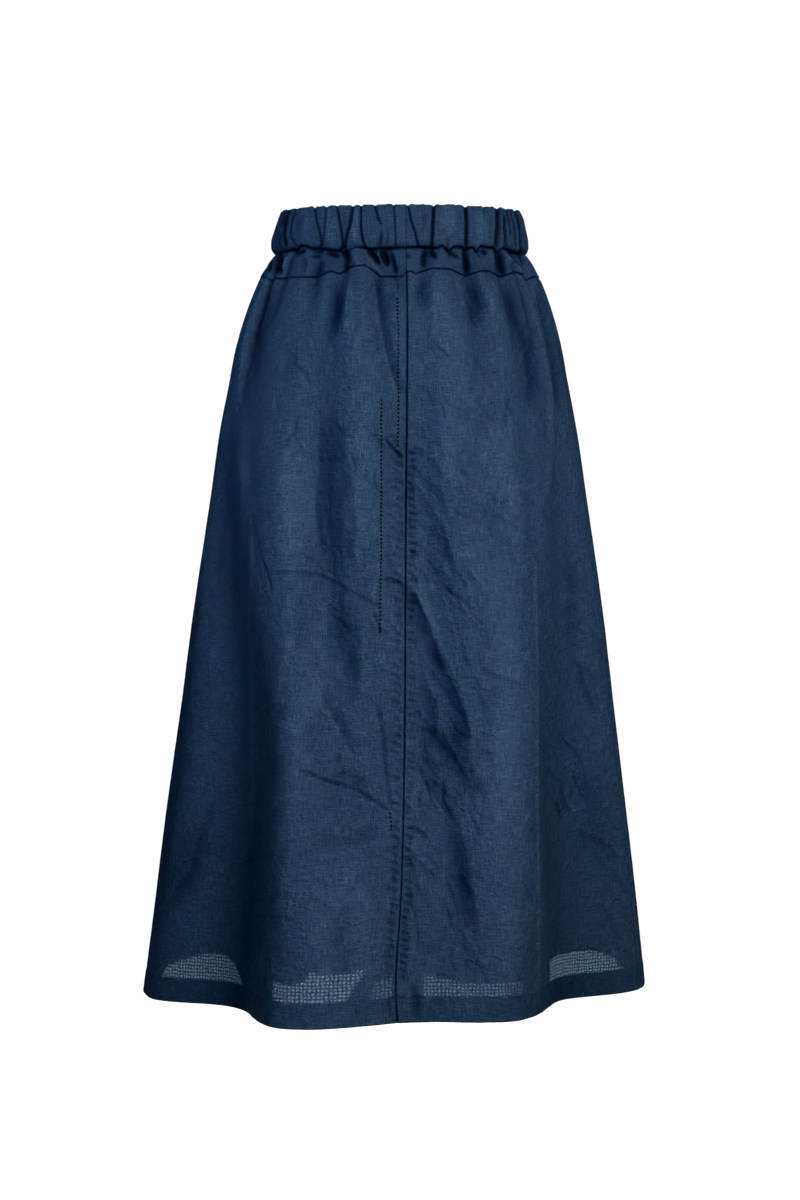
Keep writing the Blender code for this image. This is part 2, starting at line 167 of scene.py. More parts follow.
HEM_LIFTS = table_of(HemLift, (
    (-180, -0.009), (-170, -0.008), (-158, -0.006), (-148, -0.003), (-137, 0.012),
    (-128, 0.011), (-105, 0.001), (-80, -0.003), (-50, -0.002), (-20, -0.004),
    (0, -0.001), (25, -0.002), (55, -0.001), (80, 0.002), (105, 0.010),
    (126, 0.011), (135, 0.012), (144, 0.002), (156, -0.016), (168, -0.012),
    (180, -0.009),
))


class SeamStation(NamedTuple):
    """Where the centre front seam runs at one height."""

    z: float
    angle: float


CENTRE_SEAM = table_of(SeamStation, (
    (-0.7215, -0.6), (-0.6900, -0.9), (-0.6100, 0.2), (-0.4700, 1.1),
    (-0.3000, 1.6), (-0.0500, 2.6), (0.0200, 2.6),
))


class Edge(Enum):
    """How a wrinkle's sides fall away from its line."""

    SOFT = "soft"
    LIP = "lip"
    CUT = "cut"


class Wrinkle(NamedTuple):
    """A wrinkle on the front: its line in front view steps, height in millimetres and half width in steps.

    A height below zero is a trough. A lip stands up on the left of its line and drops to the right. A cut is
    a sharp valley between soft shoulders.
    """

    height: float
    reach: float
    line: tuple[tuple[float, float], ...]
    edge: Edge = Edge.SOFT


def creases(rows: dict[Edge, tuple[tuple[Any, ...], ...]]) -> tuple[Wrinkle, ...]:
    """Read a table of wrinkles.

    Args:
        rows: For each kind of edge, rows of a height, a reach and then the marks of a line.

    Returns:
        The wrinkles.
    """
    return tuple(
        Wrinkle(height, reach, tuple(line), edge)
        for edge, group in rows.items() for height, reach, *line in group
    )


# The casing's creases. Some lean, some meet in a V at the groove and some fade on the way.
CASING_WRINKLES = creases({
    Edge.SOFT: (
        (-1.6, 2.6, (381, 230), (380.6, 238), (379, 250)),
        (-1.0, 2.2, (449, 236), (447, 249)),
        (-1.0, 1.6, (484.3, 203), (485, 219)),
        (1.2, 4.5, (357, 203), (355.5, 226), (352.5, 243)),
        (0.9, 5.0, (303, 207), (303, 240)),
        (0.7, 6.0, (330, 210), (331, 244)),
        (0.7, 7.0, (449, 206), (449, 230)),
        (0.7, 7.0, (483, 212), (482, 244)),
        (-0.8, 3.0, (303, 213), (297, 236)),
        (-0.7, 3.0, (425, 206), (423, 240)),
    ),
    Edge.CUT: (
        (-3.0, 1.6, (288.6, 208), (284, 222), (283, 236), (286, 249)),
        (-1.6, 1.0, (296, 206), (291, 222), (289.5, 236)),
        (-1.4, 1.0, (284, 212), (279, 228)),
        (-1.6, 1.0, (280, 231), (278.6, 243), (282, 251)),
        (-1.6, 1.0, (289, 235), (293, 242), (296, 249)),
        (-2.2, 1.1, (313, 202), (315.4, 220), (319.6, 234), (320.5, 250)),
        (-1.8, 1.1, (326, 202), (323.7, 227), (321, 249)),
        (-2.6, 1.2, (335.5, 202), (338.8, 220), (341.3, 234), (342, 250)),
        (-3.2, 1.5, (353, 201), (349.7, 222), (345.5, 237), (343.5, 250)),
        (-3.0, 1.2, (360.6, 201), (360.2, 227), (362.2, 240), (366, 250)),
        (-2.4, 1.2, (374, 201), (377.3, 217), (382, 226)),
        (-1.3, 1.6, (386.5, 226), (387.3, 248)),
        (-1.9, 1.0, (393, 201), (395, 224), (395.7, 250)),
        (-2.4, 1.2, (407.4, 201), (410.7, 220), (415, 232), (418.6, 249)),
        (-3.0, 1.5, (434.2, 201), (433, 224), (431.7, 250)),
        (-3.4, 1.7, (466, 201), (467.2, 224), (466.4, 250)),
        (-3.6, 1.9, (498.6, 204), (498.6, 227), (496.9, 250)),
        (-2.6, 1.3, (505.5, 214), (505.5, 226), (507.5, 250)),
        (-1.8, 1.0, (507.5, 206), (510, 222), (511.5, 236)),
        (-2.4, 1.2, (515, 206), (520.5, 227), (522, 254)),
        (-1.4, 1.0, (511.5, 208), (515.5, 230), (517, 250)),
    ),
})

# Hollows under the groove and on the strip, where the gathers tuck under the casing.
STRIP_WRINKLES = creases({
    Edge.SOFT: (
        (2.4, 2.2, (362, 250), (374, 264), (384, 279)),
        (-2.0, 2.2, (407.5, 253), (408, 258)),
        (2.4, 2.2, (502, 251), (512, 260.4), (522, 274)),
        (1.8, 2.4, (294, 251), (286, 260), (283, 274)),
        (-1.6, 3.6, (303.7, 259), (302, 272)),
        (-1.8, 3.6, (318.7, 260), (318.7, 275)),
        (1.6, 5.0, (355, 250), (357, 268)),
    ),
    Edge.CUT: (
        (-3.0, 1.9, (295, 254), (300, 252), (305, 250)),
        (-2.2, 1.5, (313, 252), (321, 250)),
        (-2.0, 1.2, (310, 257), (319, 256)),
        (-2.9, 1.8, (325, 252), (332, 254.5), (339, 256)),
        (-4.0, 2.5, (341, 248), (346, 254), (348.5, 261)),
        (-1.8, 2.4, (346.5, 260), (345.5, 274)),
        (-3.0, 1.5, (367.5, 250), (372, 256)),
        (-3.2, 1.9, (371, 251), (379, 264)),
        (-4.2, 2.4, (381, 250), (385, 257), (388, 266)),
        (-2.4, 1.8, (390, 250), (395.5, 269), (397, 275)),
        (-2.1, 2.6, (426, 249), (423.5, 257), (423.5, 268)),
        (-3.8, 1.8, (431.7, 247), (432.5, 253.7), (437.5, 258)),
        (-1.8, 1.8, (449, 251), (453.4, 254.5), (461, 258)),
        (-3.5, 2.1, (464.5, 249), (466, 260), (467.5, 275)),
        (-2.2, 1.5, (475, 251), (479, 250)),
        (-2.8, 1.8, (484, 250), (487, 254)),
        (-3.9, 3.0, (497, 249), (500.5, 256), (501, 264), (505, 276)),
        (-2.6, 1.5, (506, 252), (513, 258), (520, 266)),
        (-1.8, 1.5, (516, 252), (521, 257), (525, 264)),
        (-3.1, 2.8, (280, 254), (278.6, 265), (279.5, 274)),
        (-1.8, 2.4, (270, 259), (267, 274)),
    ),
})

# The dark line under the casing, where the gathers puff up against its stitching, and the strip's lower seam.
GROOVE_LINE = (
    (276, 252), (285, 251.2), (297, 249), (303.7, 245.4), (313.7, 249), (320.4, 247.8), (327, 249.5),
    (337, 251), (343, 247.8), (347, 251), (354.7, 247.4), (364, 247.8), (370.6, 249.3), (379, 248.4),
    (410, 247.3), (431, 247), (436, 248.6), (441.7, 245.8), (448.4, 251), (453.4, 247.2), (461.8, 247),
    (465, 249.5), (472, 247.3), (476, 251), (480, 246), (487, 247.8), (493.6, 247.4), (497, 252.6),
    (502, 248), (508.6, 249.5), (514, 252), (519, 250.6), (527, 255),
)
YOKE_LINE = (
    (264, 276), (275, 279), (297, 277), (318, 277), (330, 271), (340, 274), (350, 267), (365, 265),
    (372, 270), (380, 276.5), (403.5, 276.3), (404.5, 272.7), (410, 270.8), (416, 273.5), (432, 268),
    (450, 269), (465, 276), (480, 271), (490, 271), (500, 277), (515, 272), (527, 274), (537, 276),
)

# Left front, waist to hip: gathers running down out of the strip, and the long shaded trough.
UPPER_LEFT_WRINKLES = creases({
    Edge.SOFT: (
        (1.6, 6.0, (277, 268), (262, 300), (249, 335), (240, 390), (239, 440), (243, 500)),
        (-2.0, 6.0, (272, 282), (263, 310), (257, 335), (254, 372)),
        (1.2, 8.0, (304, 282), (303, 340), (305, 400)),
        (-1.4, 4.0, (315, 266), (315, 292)),
        (-2.6, 8.0, (331, 276), (334, 312), (327, 344)),
        (1.4, 5.0, (346, 276), (347, 310), (345, 342)),
        (-1.0, 4.5, (384, 290), (391, 355), (399, 388)),
        (-1.6, 3.0, (396, 460), (403, 467)),
        (1.3, 2.4, (346, 407), (352, 415), (358, 422)),
        (-1.0, 3.0, (340, 426), (343, 437)),
        (-0.9, 16.0, (332, 440), (335, 500), (338, 560), (340, 600)),
        (1.0, 2.6, (323, 545), (324, 512)),
        (1.8, 14.0, (290, 440), (290, 555)),
        (-0.9, 4.0, (281, 318), (286, 352), (284, 380)),
        (0.9, 3.5, (268, 395), (276, 415), (281, 440)),
        (-0.8, 3.0, (300, 452), (318, 462), (338, 460)),
        (0.8, 3.0, (365, 300), (361, 330), (352, 356)),
    ),
    Edge.LIP: (
        (1.9, 5.0, (399, 394), (389, 368), (380, 325), (374, 278)),
        (1.3, 8.0, (347, 284), (344, 308), (336, 334), (327, 352)),
        (1.2, 9.0, (320, 552), (316, 520), (315, 490), (318, 470), (319, 440), (320, 415)),
        (1.2, 9.0, (337, 415), (341, 432), (345, 445), (352, 470), (355, 500), (356, 530), (354, 556)),
        (0.9, 4.5, (318, 532), (314, 515), (314, 500), (319, 488)),
        (0.9, 7.0, (353, 545), (358, 565), (359, 592)),
    ),
    Edge.CUT: (
        (-0.9, 1.2, (362, 424), (370, 433), (379, 438)),
        (-2.2, 1.6, (384, 438), (391, 446), (402, 458)),
        (-1.3, 1.4, (350, 452), (354, 462), (357, 472)),
    ),
})

# Left front, knee to hem: the three long slanted creases and the shaded troughs they cross.
LOWER_LEFT_WRINKLES = creases({
    Edge.SOFT: (
        (0.8, 2.2, (251, 535), (251, 640), (252, 740), (253, 830)),
        (-1.4, 4.0, (218, 542), (217, 585)),
        (-0.8, 2.4, (384, 596), (402, 597)),
        (-2.2, 9.0, (338, 590), (340, 640), (354, 682)),
        (-1.5, 5.0, (334, 778), (348, 775), (360, 782)),
        (-1.8, 8.0, (303, 846), (340, 843), (377, 832)),
        (-1.6, 3.2, (392, 838), (398, 846)),
        (0.8, 2.2, (310, 859), (335, 855), (362, 848), (380, 840)),
        (0.8, 2.6, (300, 880), (322, 874), (340, 866), (368, 862)),
        (2.2, 14.0, (310, 880), (313, 930), (318, 985)),
        (1.8, 12.0, (360, 880), (362, 930), (362, 985)),
        (-1.6, 9.0, (338, 905), (339, 990)),
        (-1.6, 13.0, (168, 905), (184, 870), (194, 820)),
        (-0.7, 6.0, (178, 768), (184, 757)),
        (1.2, 4.0, (188, 759), (213, 744)),
        (1.0, 4.0, (192, 790), (210, 772)),
        (1.0, 3.5, (218, 640), (208, 668)),
        (0.9, 3.5, (205, 705), (226, 690), (243, 688)),
        (-0.8, 3.0, (188, 640), (196, 622), (199, 600)),
        (0.9, 3.0, (272, 700), (290, 706), (306, 703)),
        (0.8, 3.0, (274, 724), (292, 731), (300, 742)),
    ),
    Edge.LIP: (
        (2.3, 3.6, (274, 570), (296, 570), (315, 571), (325, 574), (333, 579), (343, 584), (357, 592),
         (368, 597), (381, 604)),
        (0.9, 3.0, (384, 604), (402, 614)),
        (1.2, 9.0, (327, 668), (326, 640), (327, 600), (331, 584)),
        (1.2, 8.0, (359, 606), (361, 640), (361, 676), (357, 704)),
        (1.1, 4.5, (306, 662), (316, 662), (322, 666), (328, 671), (338, 678), (350, 684), (363, 690)),
        (1.9, 8.0, (353, 757), (345, 742), (338, 728), (330, 714), (323, 700), (320, 686)),
        (1.0, 3.2, (376, 665), (402, 677)),
        (1.0, 3.2, (377, 686), (388, 690), (395, 696), (402, 700)),
        (0.9, 3.0, (385, 706), (402, 716)),
        (0.8, 3.0, (318, 813), (330, 804), (345, 801), (364, 807)),
        (1.1, 9.0, (160, 915), (172, 890), (188, 868), (196, 838), (207, 806), (214, 800)),
    ),
    Edge.CUT: (
        (-3.4, 1.5, (384, 579), (392, 580.5), (401, 582.5)),
        (-1.4, 1.8, (371, 611), (376, 620), (380, 629), (379, 636)),
        (-1.3, 2.2, (377, 702), (383, 735), (385, 762), (388, 790), (391, 811)),
        (-1.8, 1.5, (297, 769), (310, 774), (322, 779), (334, 784), (350, 787), (362, 793), (375, 802),
         (390, 811)),
    ),
})

# Right front, waist to hip.
UPPER_RIGHT_WRINKLES = creases({
    Edge.SOFT: (
        (-2.6, 6.0, (422, 278), (421, 309)),
        (1.6, 6.0, (432, 279), (432, 342)),
        (-2.6, 7.0, (470, 276), (475, 300), (470, 328)),
        (1.4, 6.0, (490, 280), (490, 318)),
        (-3.0, 7.0, (507, 279), (517, 315), (530, 350), (534, 380), (532, 412)),
        (1.4, 3.5, (530, 280), (542, 332), (550, 390), (551, 440), (547, 500)),
        (1.0, 1.5, (536, 560), (537, 640), (538, 720), (538, 800), (539, 900), (540, 985)),
        (-0.5, 5.0, (544, 560), (545, 640), (546, 720), (546, 800), (547, 900)),
        (-2.4, 5.0, (538, 286), (547, 325), (556, 364), (562, 414)),
        (1.0, 3.0, (444, 333), (447, 357)),
        (-1.1, 3.5, (424, 388), (436, 412)),
        (0.8, 2.6, (470, 497), (492, 496)),
        (1.6, 14.0, (450, 420), (448, 500)),
        (1.6, 14.0, (495, 425), (492, 500)),
        (-0.9, 4.0, (474, 345), (478, 372), (470, 398)),
        (0.8, 3.0, (500, 352), (503, 385)),
    ),
    Edge.LIP: (
        (1.0, 3.0, (449, 399), (466, 411)),
        (1.4, 5.0, (408, 444), (420, 447), (430, 455), (438, 465), (445, 476)),
        (1.1, 5.0, (413, 462), (425, 478), (441, 489), (449, 514)),
        (1.1, 3.0, (484, 508), (500, 516), (521, 528)),
        (1.6, 7.0, (415, 482), (431, 505), (446, 530), (454, 562)),
        (0.9, 2.5, (406, 449), (418, 451)),
    ),
})

# Right front, knee to hem: the folds that slant away from the centre seam, shaded on their left.
LOWER_RIGHT_WRINKLES = creases({
    Edge.SOFT: (
        (-1.5, 16.0, (424, 676), (436, 720), (450, 800)),
        (-1.1, 1.8, (409, 641.5), (419, 640.5)),
        (-2.6, 9.0, (447, 724), (455, 752), (476, 788)),
        (-0.9, 10.0, (452, 836), (462, 880), (470, 920)),
        (-1.3, 1.8, (405, 839), (415, 839.5)),
        (-1.4, 3.0, (404, 862), (412, 867)),
        (1.2, 3.0, (469, 790), (475, 797), (482, 809)),
        (1.1, 3.0, (491, 824), (496, 840)),
        (0.8, 2.4, (495, 923), (511, 916), (527, 912)),
        (2.4, 13.0, (500, 690), (503, 760), (504, 850)),
        (1.6, 12.0, (510, 900), (510, 985)),
        (-1.2, 8.0, (572, 545), (575, 600), (575, 660)),
        (-1.0, 9.0, (582, 668), (598, 712)),
        (-1.4, 12.0, (590, 763), (598, 830), (612, 880)),
        (1.0, 4.0, (560, 596), (583, 604)),
        (1.0, 4.0, (566, 812), (590, 806)),
        (-1.2, 4.0, (440, 548), (452, 566), (455, 584)),
        (1.0, 3.5, (456, 760), (474, 768), (486, 780)),
    ),
    Edge.LIP: (
        (3.6, 11.0, (411, 586), (417, 596), (422, 606), (427, 620), (433, 635), (438, 647), (445, 662),
         (451, 676), (456, 687), (461, 700), (467, 715), (470, 730), (470, 748)),
        (1.8, 9.0, (423, 670), (431, 690), (437, 703), (438, 722), (437, 738)),
        (1.0, 4.0, (482, 705), (470, 682), (460, 650), (454, 625), (445, 600), (434, 582)),
        (1.8, 10.0, (440, 726), (450, 744), (464, 768), (480, 796)),
        (1.9, 8.0, (456, 827), (446, 815), (436, 800), (425, 785), (415, 766)),
        (2.0, 12.0, (452, 808), (460, 827), (466, 848), (469, 867), (473, 891), (477, 914), (479, 932)),
        (1.8, 4.0, (405, 803), (414, 810)),
        (2.0, 5.0, (404, 843), (412, 851), (419, 859), (432, 872)),
        (0.8, 2.4, (472, 831), (496, 838)),
        (0.9, 5.0, (571, 650), (581, 663), (590, 690), (599, 712)),
        (0.7, 4.0, (574, 735), (583, 752), (588, 775), (590, 800)),
        (1.0, 6.0, (577, 826), (590, 833), (604, 838), (613, 846), (621, 858)),
        (0.9, 5.0, (603, 862), (614, 868), (624, 880), (631, 893)),
        (0.7, 4.0, (596, 902), (607, 908), (615, 922), (620, 938)),
        (1.0, 3.5, (413, 700), (428, 722), (446, 736)),
    ),
    Edge.CUT: (
        (-1.0, 1.4, (441, 587), (450, 592), (459, 597), (466, 604), (474, 612), (481, 611)),
        (-1.6, 1.8, (410, 576.5), (418, 581.5)),
        (-1.6, 1.8, (411, 551), (418, 556)),
        (-1.8, 1.8, (406, 828), (415, 829), (421, 832), (429, 841)),
    ),
})

# The edge of the cloth folded in beside the centre seam, the bar that closes it, and the hem beside them.
PLACKET_WRINKLES = creases({
    Edge.SOFT: (
        (-1.0, 2.2, (396.5, 294), (390, 296), (384, 297)),
        (-0.8, 0.8, (389, 976), (395, 976)),
        (-0.7, 0.8, (389, 984), (395, 984)),
        (-0.7, 0.8, (389, 991), (395, 991)),
        (-1.2, 1.0, (389, 996), (391, 998.5), (395, 998.5)),
        (-2.8, 4.0, (412, 982), (416, 1003), (418, 1020)),
    ),
    Edge.CUT: (
        (-1.3, 0.9, (393, 276.5), (396.5, 280), (397.8, 285), (397.3, 292)),
        (-1.0, 1.0, (394, 845), (393, 880), (391.5, 920), (389.5, 950)),
        (-1.3, 1.0, (389.5, 945), (388.5, 970), (388.5, 998), (391, 1019)),
        (-1.5, 1.1, (397, 998.5), (405, 996.5)),
        (-0.9, 1.0, (410, 997), (427, 998.5)),
    ),
})


class CreaseField(NamedTuple):
    """Small sharp creases strewn over a part of the front.

    The part's corners in the front view, how many creases it has, the degrees below level that they run and
    how far they stray from it, and how many steps long they are.
    """

    low: tuple[float, float]
    high: tuple[float, float]
    count: int
    lean: float
    stray: float
    length: float


CREASE_FIELDS = (
    CreaseField((410, 545), (486, 800), 64, 58.0, 14.0, 30.0),
    CreaseField((410, 320), (520, 540), 30, 62.0, 26.0, 24.0),
    CreaseField((318, 380), (400, 640), 30, 66.0, 24.0, 24.0),
    CreaseField((240, 300), (318, 560), 18, 84.0, 20.0, 26.0),
    CreaseField((240, 690), (385, 960), 26, -14.0, 14.0, 30.0),
    CreaseField((408, 780), (500, 975), 34, 62.0, 16.0, 28.0),
    CreaseField((530, 560), (615, 900), 14, 60.0, 14.0, 26.0),
)

# The centre seam in the front view, which its puckers start from.
SEAM_LINE = ((406, 260), (405.5, 560), (404.4, 740), (401.2, 880), (397, 965), (395.5, 990))

WRINKLES = (
    *STRIP_WRINKLES, *UPPER_LEFT_WRINKLES, *LOWER_LEFT_WRINKLES, *UPPER_RIGHT_WRINKLES, *LOWER_RIGHT_WRINKLES
)


def put(name: str, data: Any) -> bpy.types.Object:
    """Put a mesh, a light or a camera in the scene."""
    piece = bpy.data.objects.new(name, data)
    bpy.context.scene.collection.objects.link(piece)
    return piece


def put_mesh(
    name: str, points: np.ndarray | list[Any], faces: list[Any], material: bpy.types.Material
) -> bpy.types.Object:
    """Put a mesh in the scene.

    Args:
        name: The piece's name.
        points: Its points.
        faces: The point numbers round each face.
        material: What it is made of.

    Returns:
        The piece.
    """
    data = bpy.data.meshes.new(name)
    data.from_pydata(points, [], faces)
    data.materials.append(material)
    return put(name, data)


def point_at(thing: bpy.types.Object, place: tuple[float, ...], aim: tuple[float, ...]) -> None:
    """Stand a light or a camera at a place, turned towards its aim."""
    thing.location = place
    thing.rotation_euler = (Vector(aim) - Vector(place)).to_track_quat("-Z", "Y").to_euler()


def table_curve(stations: list[float], values: list[float], at: np.ndarray) -> np.ndarray:
    """Read a smooth curve through a short table.

    Args:
        stations: Heights or angles of the table's rows, rising.
        values: The table's values there.
        at: Where to read it.

    Returns:
        The curve's values.
    """
    xs = np.asarray(stations, float)
    ys = np.asarray(values, float)
    slopes = np.gradient(ys, xs)
    i = np.clip(np.searchsorted(xs, at) - 1, 0, len(xs) - 2)
    width = xs[i + 1] - xs[i]
    t = np.clip((at - xs[i]) / width, 0.0, 1.0)
    start = (1 + 2 * t) * (1 - t) ** 2 * ys[i] + t * (1 - t) ** 2 * width * slopes[i]
    end = t * t * (3 - 2 * t) * ys[i + 1] + t * t * (t - 1) * width * slopes[i + 1]
    return start + end


def ease(low: float, high: float, at: np.ndarray) -> np.ndarray:
    """Rise from 0 at `low` to 1 at `high`, with a level start and end."""
    t = np.clip((at - low) / (high - low), 0.0, 1.0)
    return t * t * (3 - 2 * t)


def turn_between(angle: np.ndarray, centre: Any) -> np.ndarray:
    """The turn from `centre` to `angle`, from -180 to 180 degrees."""
    return (angle - centre + 180.0) % FULL_TURN - 180.0


def off_centre(angle: np.ndarray) -> np.ndarray:
    """Degrees from the centre front, either way."""
    return np.abs(turn_between(angle, 0.0))


def blurred(field: np.ndarray, times: int) -> np.ndarray:
    """Soften a grid of values over its neighbours.

    Args:
        field: Columns by rows.
        times: How often the softening is repeated.

    Returns:
        The softened grid.
    """
    for _ in range(times):
        for axis in (0, 1):
            padding = [(1, 1) if k == axis else (0, 0) for k in (0, 1)]
            padded = np.pad(field, padding, mode="edge")
            before = np.take(padded, range(0, field.shape[axis]), axis)
            after = np.take(padded, range(2, field.shape[axis] + 2), axis)
            field = 0.25 * before + 0.5 * field + 0.25 * after
    return field


def cloth_noise(seed: int, across: np.ndarray, down: np.ndarray, cells_round: int) -> np.ndarray:
    """Smooth seeded noise that closes on itself round the skirt.

    Args:
        seed: Picks the pattern.
        across: Place round the skirt, in cells.
        down: Place down the skirt, in cells.
        cells_round: Whole number of cells in a full turn.

    Returns:
        Values from about -0.7 to 0.7.
    """
    lattice_rows = 256
    turns = np.random.default_rng(seed).uniform(0, 2 * math.pi, (lattice_rows, cells_round))
    i = np.floor(across).astype(int)
    j = np.floor(down).astype(int)
    total = np.zeros(across.shape)
    for side in (0, 1):
        for below in (0, 1):
            x = across - i - side
            y = down - j - below
            turn = turns[(j + below) % lattice_rows, (i + side) % cells_round]
            weight = ease(1.0, 0.0, np.abs(x)) * ease(1.0, 0.0, np.abs(y))
            total += weight * (np.cos(turn) * x + np.sin(turn) * y)
    return total


@dataclass(frozen=True)
class FrontView:
    """The camera's place, and where it sees a point in steps of a view 800 wide and 1200 high."""

    eye: tuple[float, float, float] = (0.0, -3.0, -0.232)
    aim: tuple[float, float, float] = (0.0, 0.0, -0.3505)
    lens: float = 94.0
    sensor: float = 36.0
    wide: float = 800.0
    high: float = 1200.0

    def seen(self, points: np.ndarray) -> tuple[np.ndarray, np.ndarray]:
        """Find where points appear in the view.

        Args:
            points: Points, with x, y and z in the last axis.

        Returns:
            Steps across from the left and down from the top.
        """
        forward = np.subtract(self.aim, self.eye)
        forward = forward / np.linalg.norm(forward)
        right = np.array([1.0, 0.0, 0.0])
        up = np.cross(right, forward)
        away = points - np.array(self.eye)
        scale = self.lens / self.sensor * self.high / (away @ forward)
        return self.wide / 2 + scale * (away @ right), self.high / 2 - scale * (away @ up)

    def seen_from_behind(self, points: np.ndarray) -> tuple[np.ndarray, np.ndarray]:
        """Find where points of the back would appear if the skirt were turned round.

        The back takes the front's wrinkles a little larger and lower, so that it is creased alike but
        isn't the same.
        """
        across, down = self.seen(points * HALF_TURN)
        stretch, shift, drop = 1.07, 6.0, 17.0
        return self.wide / 2 + (across - self.wide / 2) * stretch + shift, down + drop

    def build(self) -> None:
        """Make the camera."""
        data = bpy.data.cameras.new("front_camera")
        data.lens = self.lens
        data.sensor_width = self.sensor
        camera = put("front_camera", data)
        point_at(camera, self.eye, self.aim)
        bpy.context.scene.camera = camera


@dataclass(frozen=True)
class SkirtForm:
    """The form as dressed on a body, that every piece of cloth lies on, in the CAD model's own sizes."""

    view: FrontView = FrontView()
    casing_top: float = 0.0200
    groove: float = -0.0210
    seam: float = -0.0460
    hem: float = -0.7215
    hem_turn: float = 0.0220
    sewn_gap: float = 0.00005
    side_seam: float = 80.0
    seam_follow: float = 0.8
    seam_crest: float = 0.0025
    seam_sway: float = 0.090
    groove_wave: float = 0.0030
    groove_sway: float = 0.012
    hem_sway: float = 0.220
    gather_reach: float = 3.4
    gather_at_groove: float = 0.2
    gather_rounding: float = 0.006
    pocket_depth: float = 0.0030
    pocket_length: float = 0.014
    pocket_reach: float = 2.0
    bridge: float = -20.4
    bridge_reach: float = 3.2
    bridge_spared: float = 0.85
    front_ends: float = 70.0
    front_whole: float = 58.0

    def half_sizes(
        self, sections: tuple[Section, ...], angle: np.ndarray, z: np.ndarray
    ) -> tuple[np.ndarray, np.ndarray]:
        """Find a ring's half width and half depth on each angle's side.

        Args:
            sections: The ring's table.
            angle: Degrees round the waist.
            z: Heights.

        Returns:
            Half width and half depth.
        """
        stations = [row.z for row in sections]
        left, right, front, back = (
            table_curve(stations, [getattr(row, side) for row in sections], z)
            for side in ("left", "right", "front", "back")
        )
        turn = np.radians(angle)
        return np.where(np.sin(turn) < 0, left, right), np.where(np.cos(turn) > 0, front, back)

    def place(
        self, sections: tuple[Section, ...], angle: np.ndarray, level: np.ndarray, z: np.ndarray, push: Any
    ) -> np.ndarray:
        """Place points on a ring, pushed out along its plan's normal.

        Args:
            sections: The ring's table.
            angle: Degrees round the waist.
            level: Height at which the table is read.
            z: Height at which the point stands.
            push: Outward push in metres.

        Returns:
            Points, with x, y and z in the last axis.
        """
        across, along = self.half_sizes(sections, angle, level)
        turn = np.radians(angle)
        normal_x = np.sin(turn) / across
        normal_y = -np.cos(turn) / along
        length = np.hypot(normal_x, normal_y)
        x = across * np.sin(turn) + push * normal_x / length
        y = -along * np.cos(turn) + push * normal_y / length
        return np.stack(np.broadcast_arrays(x, y, z), axis=-1)

    def run_per_degree(
        self, sections: tuple[Section, ...], angle: np.ndarray, level: np.ndarray
    ) -> np.ndarray:
        """Metres of cloth in one degree of a ring."""
        across, along = self.half_sizes(sections, angle, level)
        turn = np.radians(angle)
        return np.hypot(across * np.cos(turn), along * np.sin(turn)) * math.pi / 180

    def long_fold_push(self, angle: np.ndarray, level: np.ndarray) -> np.ndarray:
        """Sum of the long folds' pushes."""
        total = np.zeros(angle.shape)
        for fold in LONG_FOLDS:
            centre = table_curve(FOLD_STATIONS, fold.angle, level)
            reach = fold.reach_hem + (fold.reach_top - fold.reach_hem) * ease(self.hem, self.seam, level)
            share = np.clip(turn_between(angle, centre) / reach, -1.0, 1.0)
            total += table_curve(FOLD_STATIONS, fold.push, level) * 0.5 * (1 + np.cos(math.pi * share))
        return total

    def gather_push(self, angle: np.ndarray, level: np.ndarray) -> np.ndarray:
        """Sum of the gathers' valleys: shallow at the groove, deepest at the seam, then fading."""
        total = np.zeros(angle.shape)
        for gather in GATHERS:
            centre = gather.groove + (gather.seam - gather.groove) * ease(self.groove, self.seam, level)
            share = turn_between(angle, centre) / self.gather_reach
            grown = ease(self.groove, self.seam + self.gather_rounding, level)
            depth = self.gather_at_groove + (1 - self.gather_at_groove) * grown
            remaining = ease(self.seam - gather.length, self.seam - self.gather_rounding, level)
            total -= gather.depth * depth * remaining * np.exp(-share * share)
        return total

    def pocket_push(self, angle: np.ndarray, level: np.ndarray) -> np.ndarray:
        """The small hollows where each gather tucks in under the casing."""
        total = np.zeros(angle.shape)
        for gather in GATHERS:
            share = turn_between(angle, gather.groove) / self.pocket_reach
            total -= self.pocket_depth * np.exp(-share * share)
        return total * ease(self.groove - self.pocket_length, self.groove, level)

    def up_to(self, line: tuple[tuple[float, float], ...], angle: np.ndarray, bare: np.ndarray,
              behind: np.ndarray) -> np.ndarray:
        """How far points must rise to lie on a line of the front view.

        Args:
            line: The line's marks.
            angle: Degrees round the waist.
            bare: The points.
            behind: How far those rise that the front view doesn't see.

        Returns:
            The rise in metres.
        """
        across, down = self.view.seen(bare)
        xs, ys = np.array(line, float).T
        away = bare[..., 1] - self.view.eye[1]
        steps = self.view.lens / self.view.sensor * self.view.high
        rise = (down - np.interp(across, xs, ys)) * away / steps
        return behind + (rise - behind) * ease(self.front_ends, self.front_whole, off_centre(angle))

    def seam_rise(self, angle: np.ndarray) -> np.ndarray:
        """How far the strip's lower seam rides above its level line, as seen in front and alike behind."""
        at = np.full(angle.shape, self.seam)
        push = self.gather_push(angle, at)
        behind = self.seam_crest + self.seam_follow * push
        bare = self.place(SKIRT_SECTIONS, angle, at, at, push + self.long_fold_push(angle, at))
        return self.up_to(YOKE_LINE, angle, bare, behind)

    def groove_rise(self, angle: np.ndarray) -> np.ndarray:
        """How far the groove rides above its level line, as seen in front and alike behind."""
        at = np.full(angle.shape, self.groove)
        behind = self.groove_wave * cloth_noise(71, turn_between(angle, 0.0) / 4.0, at, 90)
        bare = self.place(SKIRT_SECTIONS, angle, at, at, 0.0)
        return self.up_to(GROOVE_LINE, angle, bare, behind)

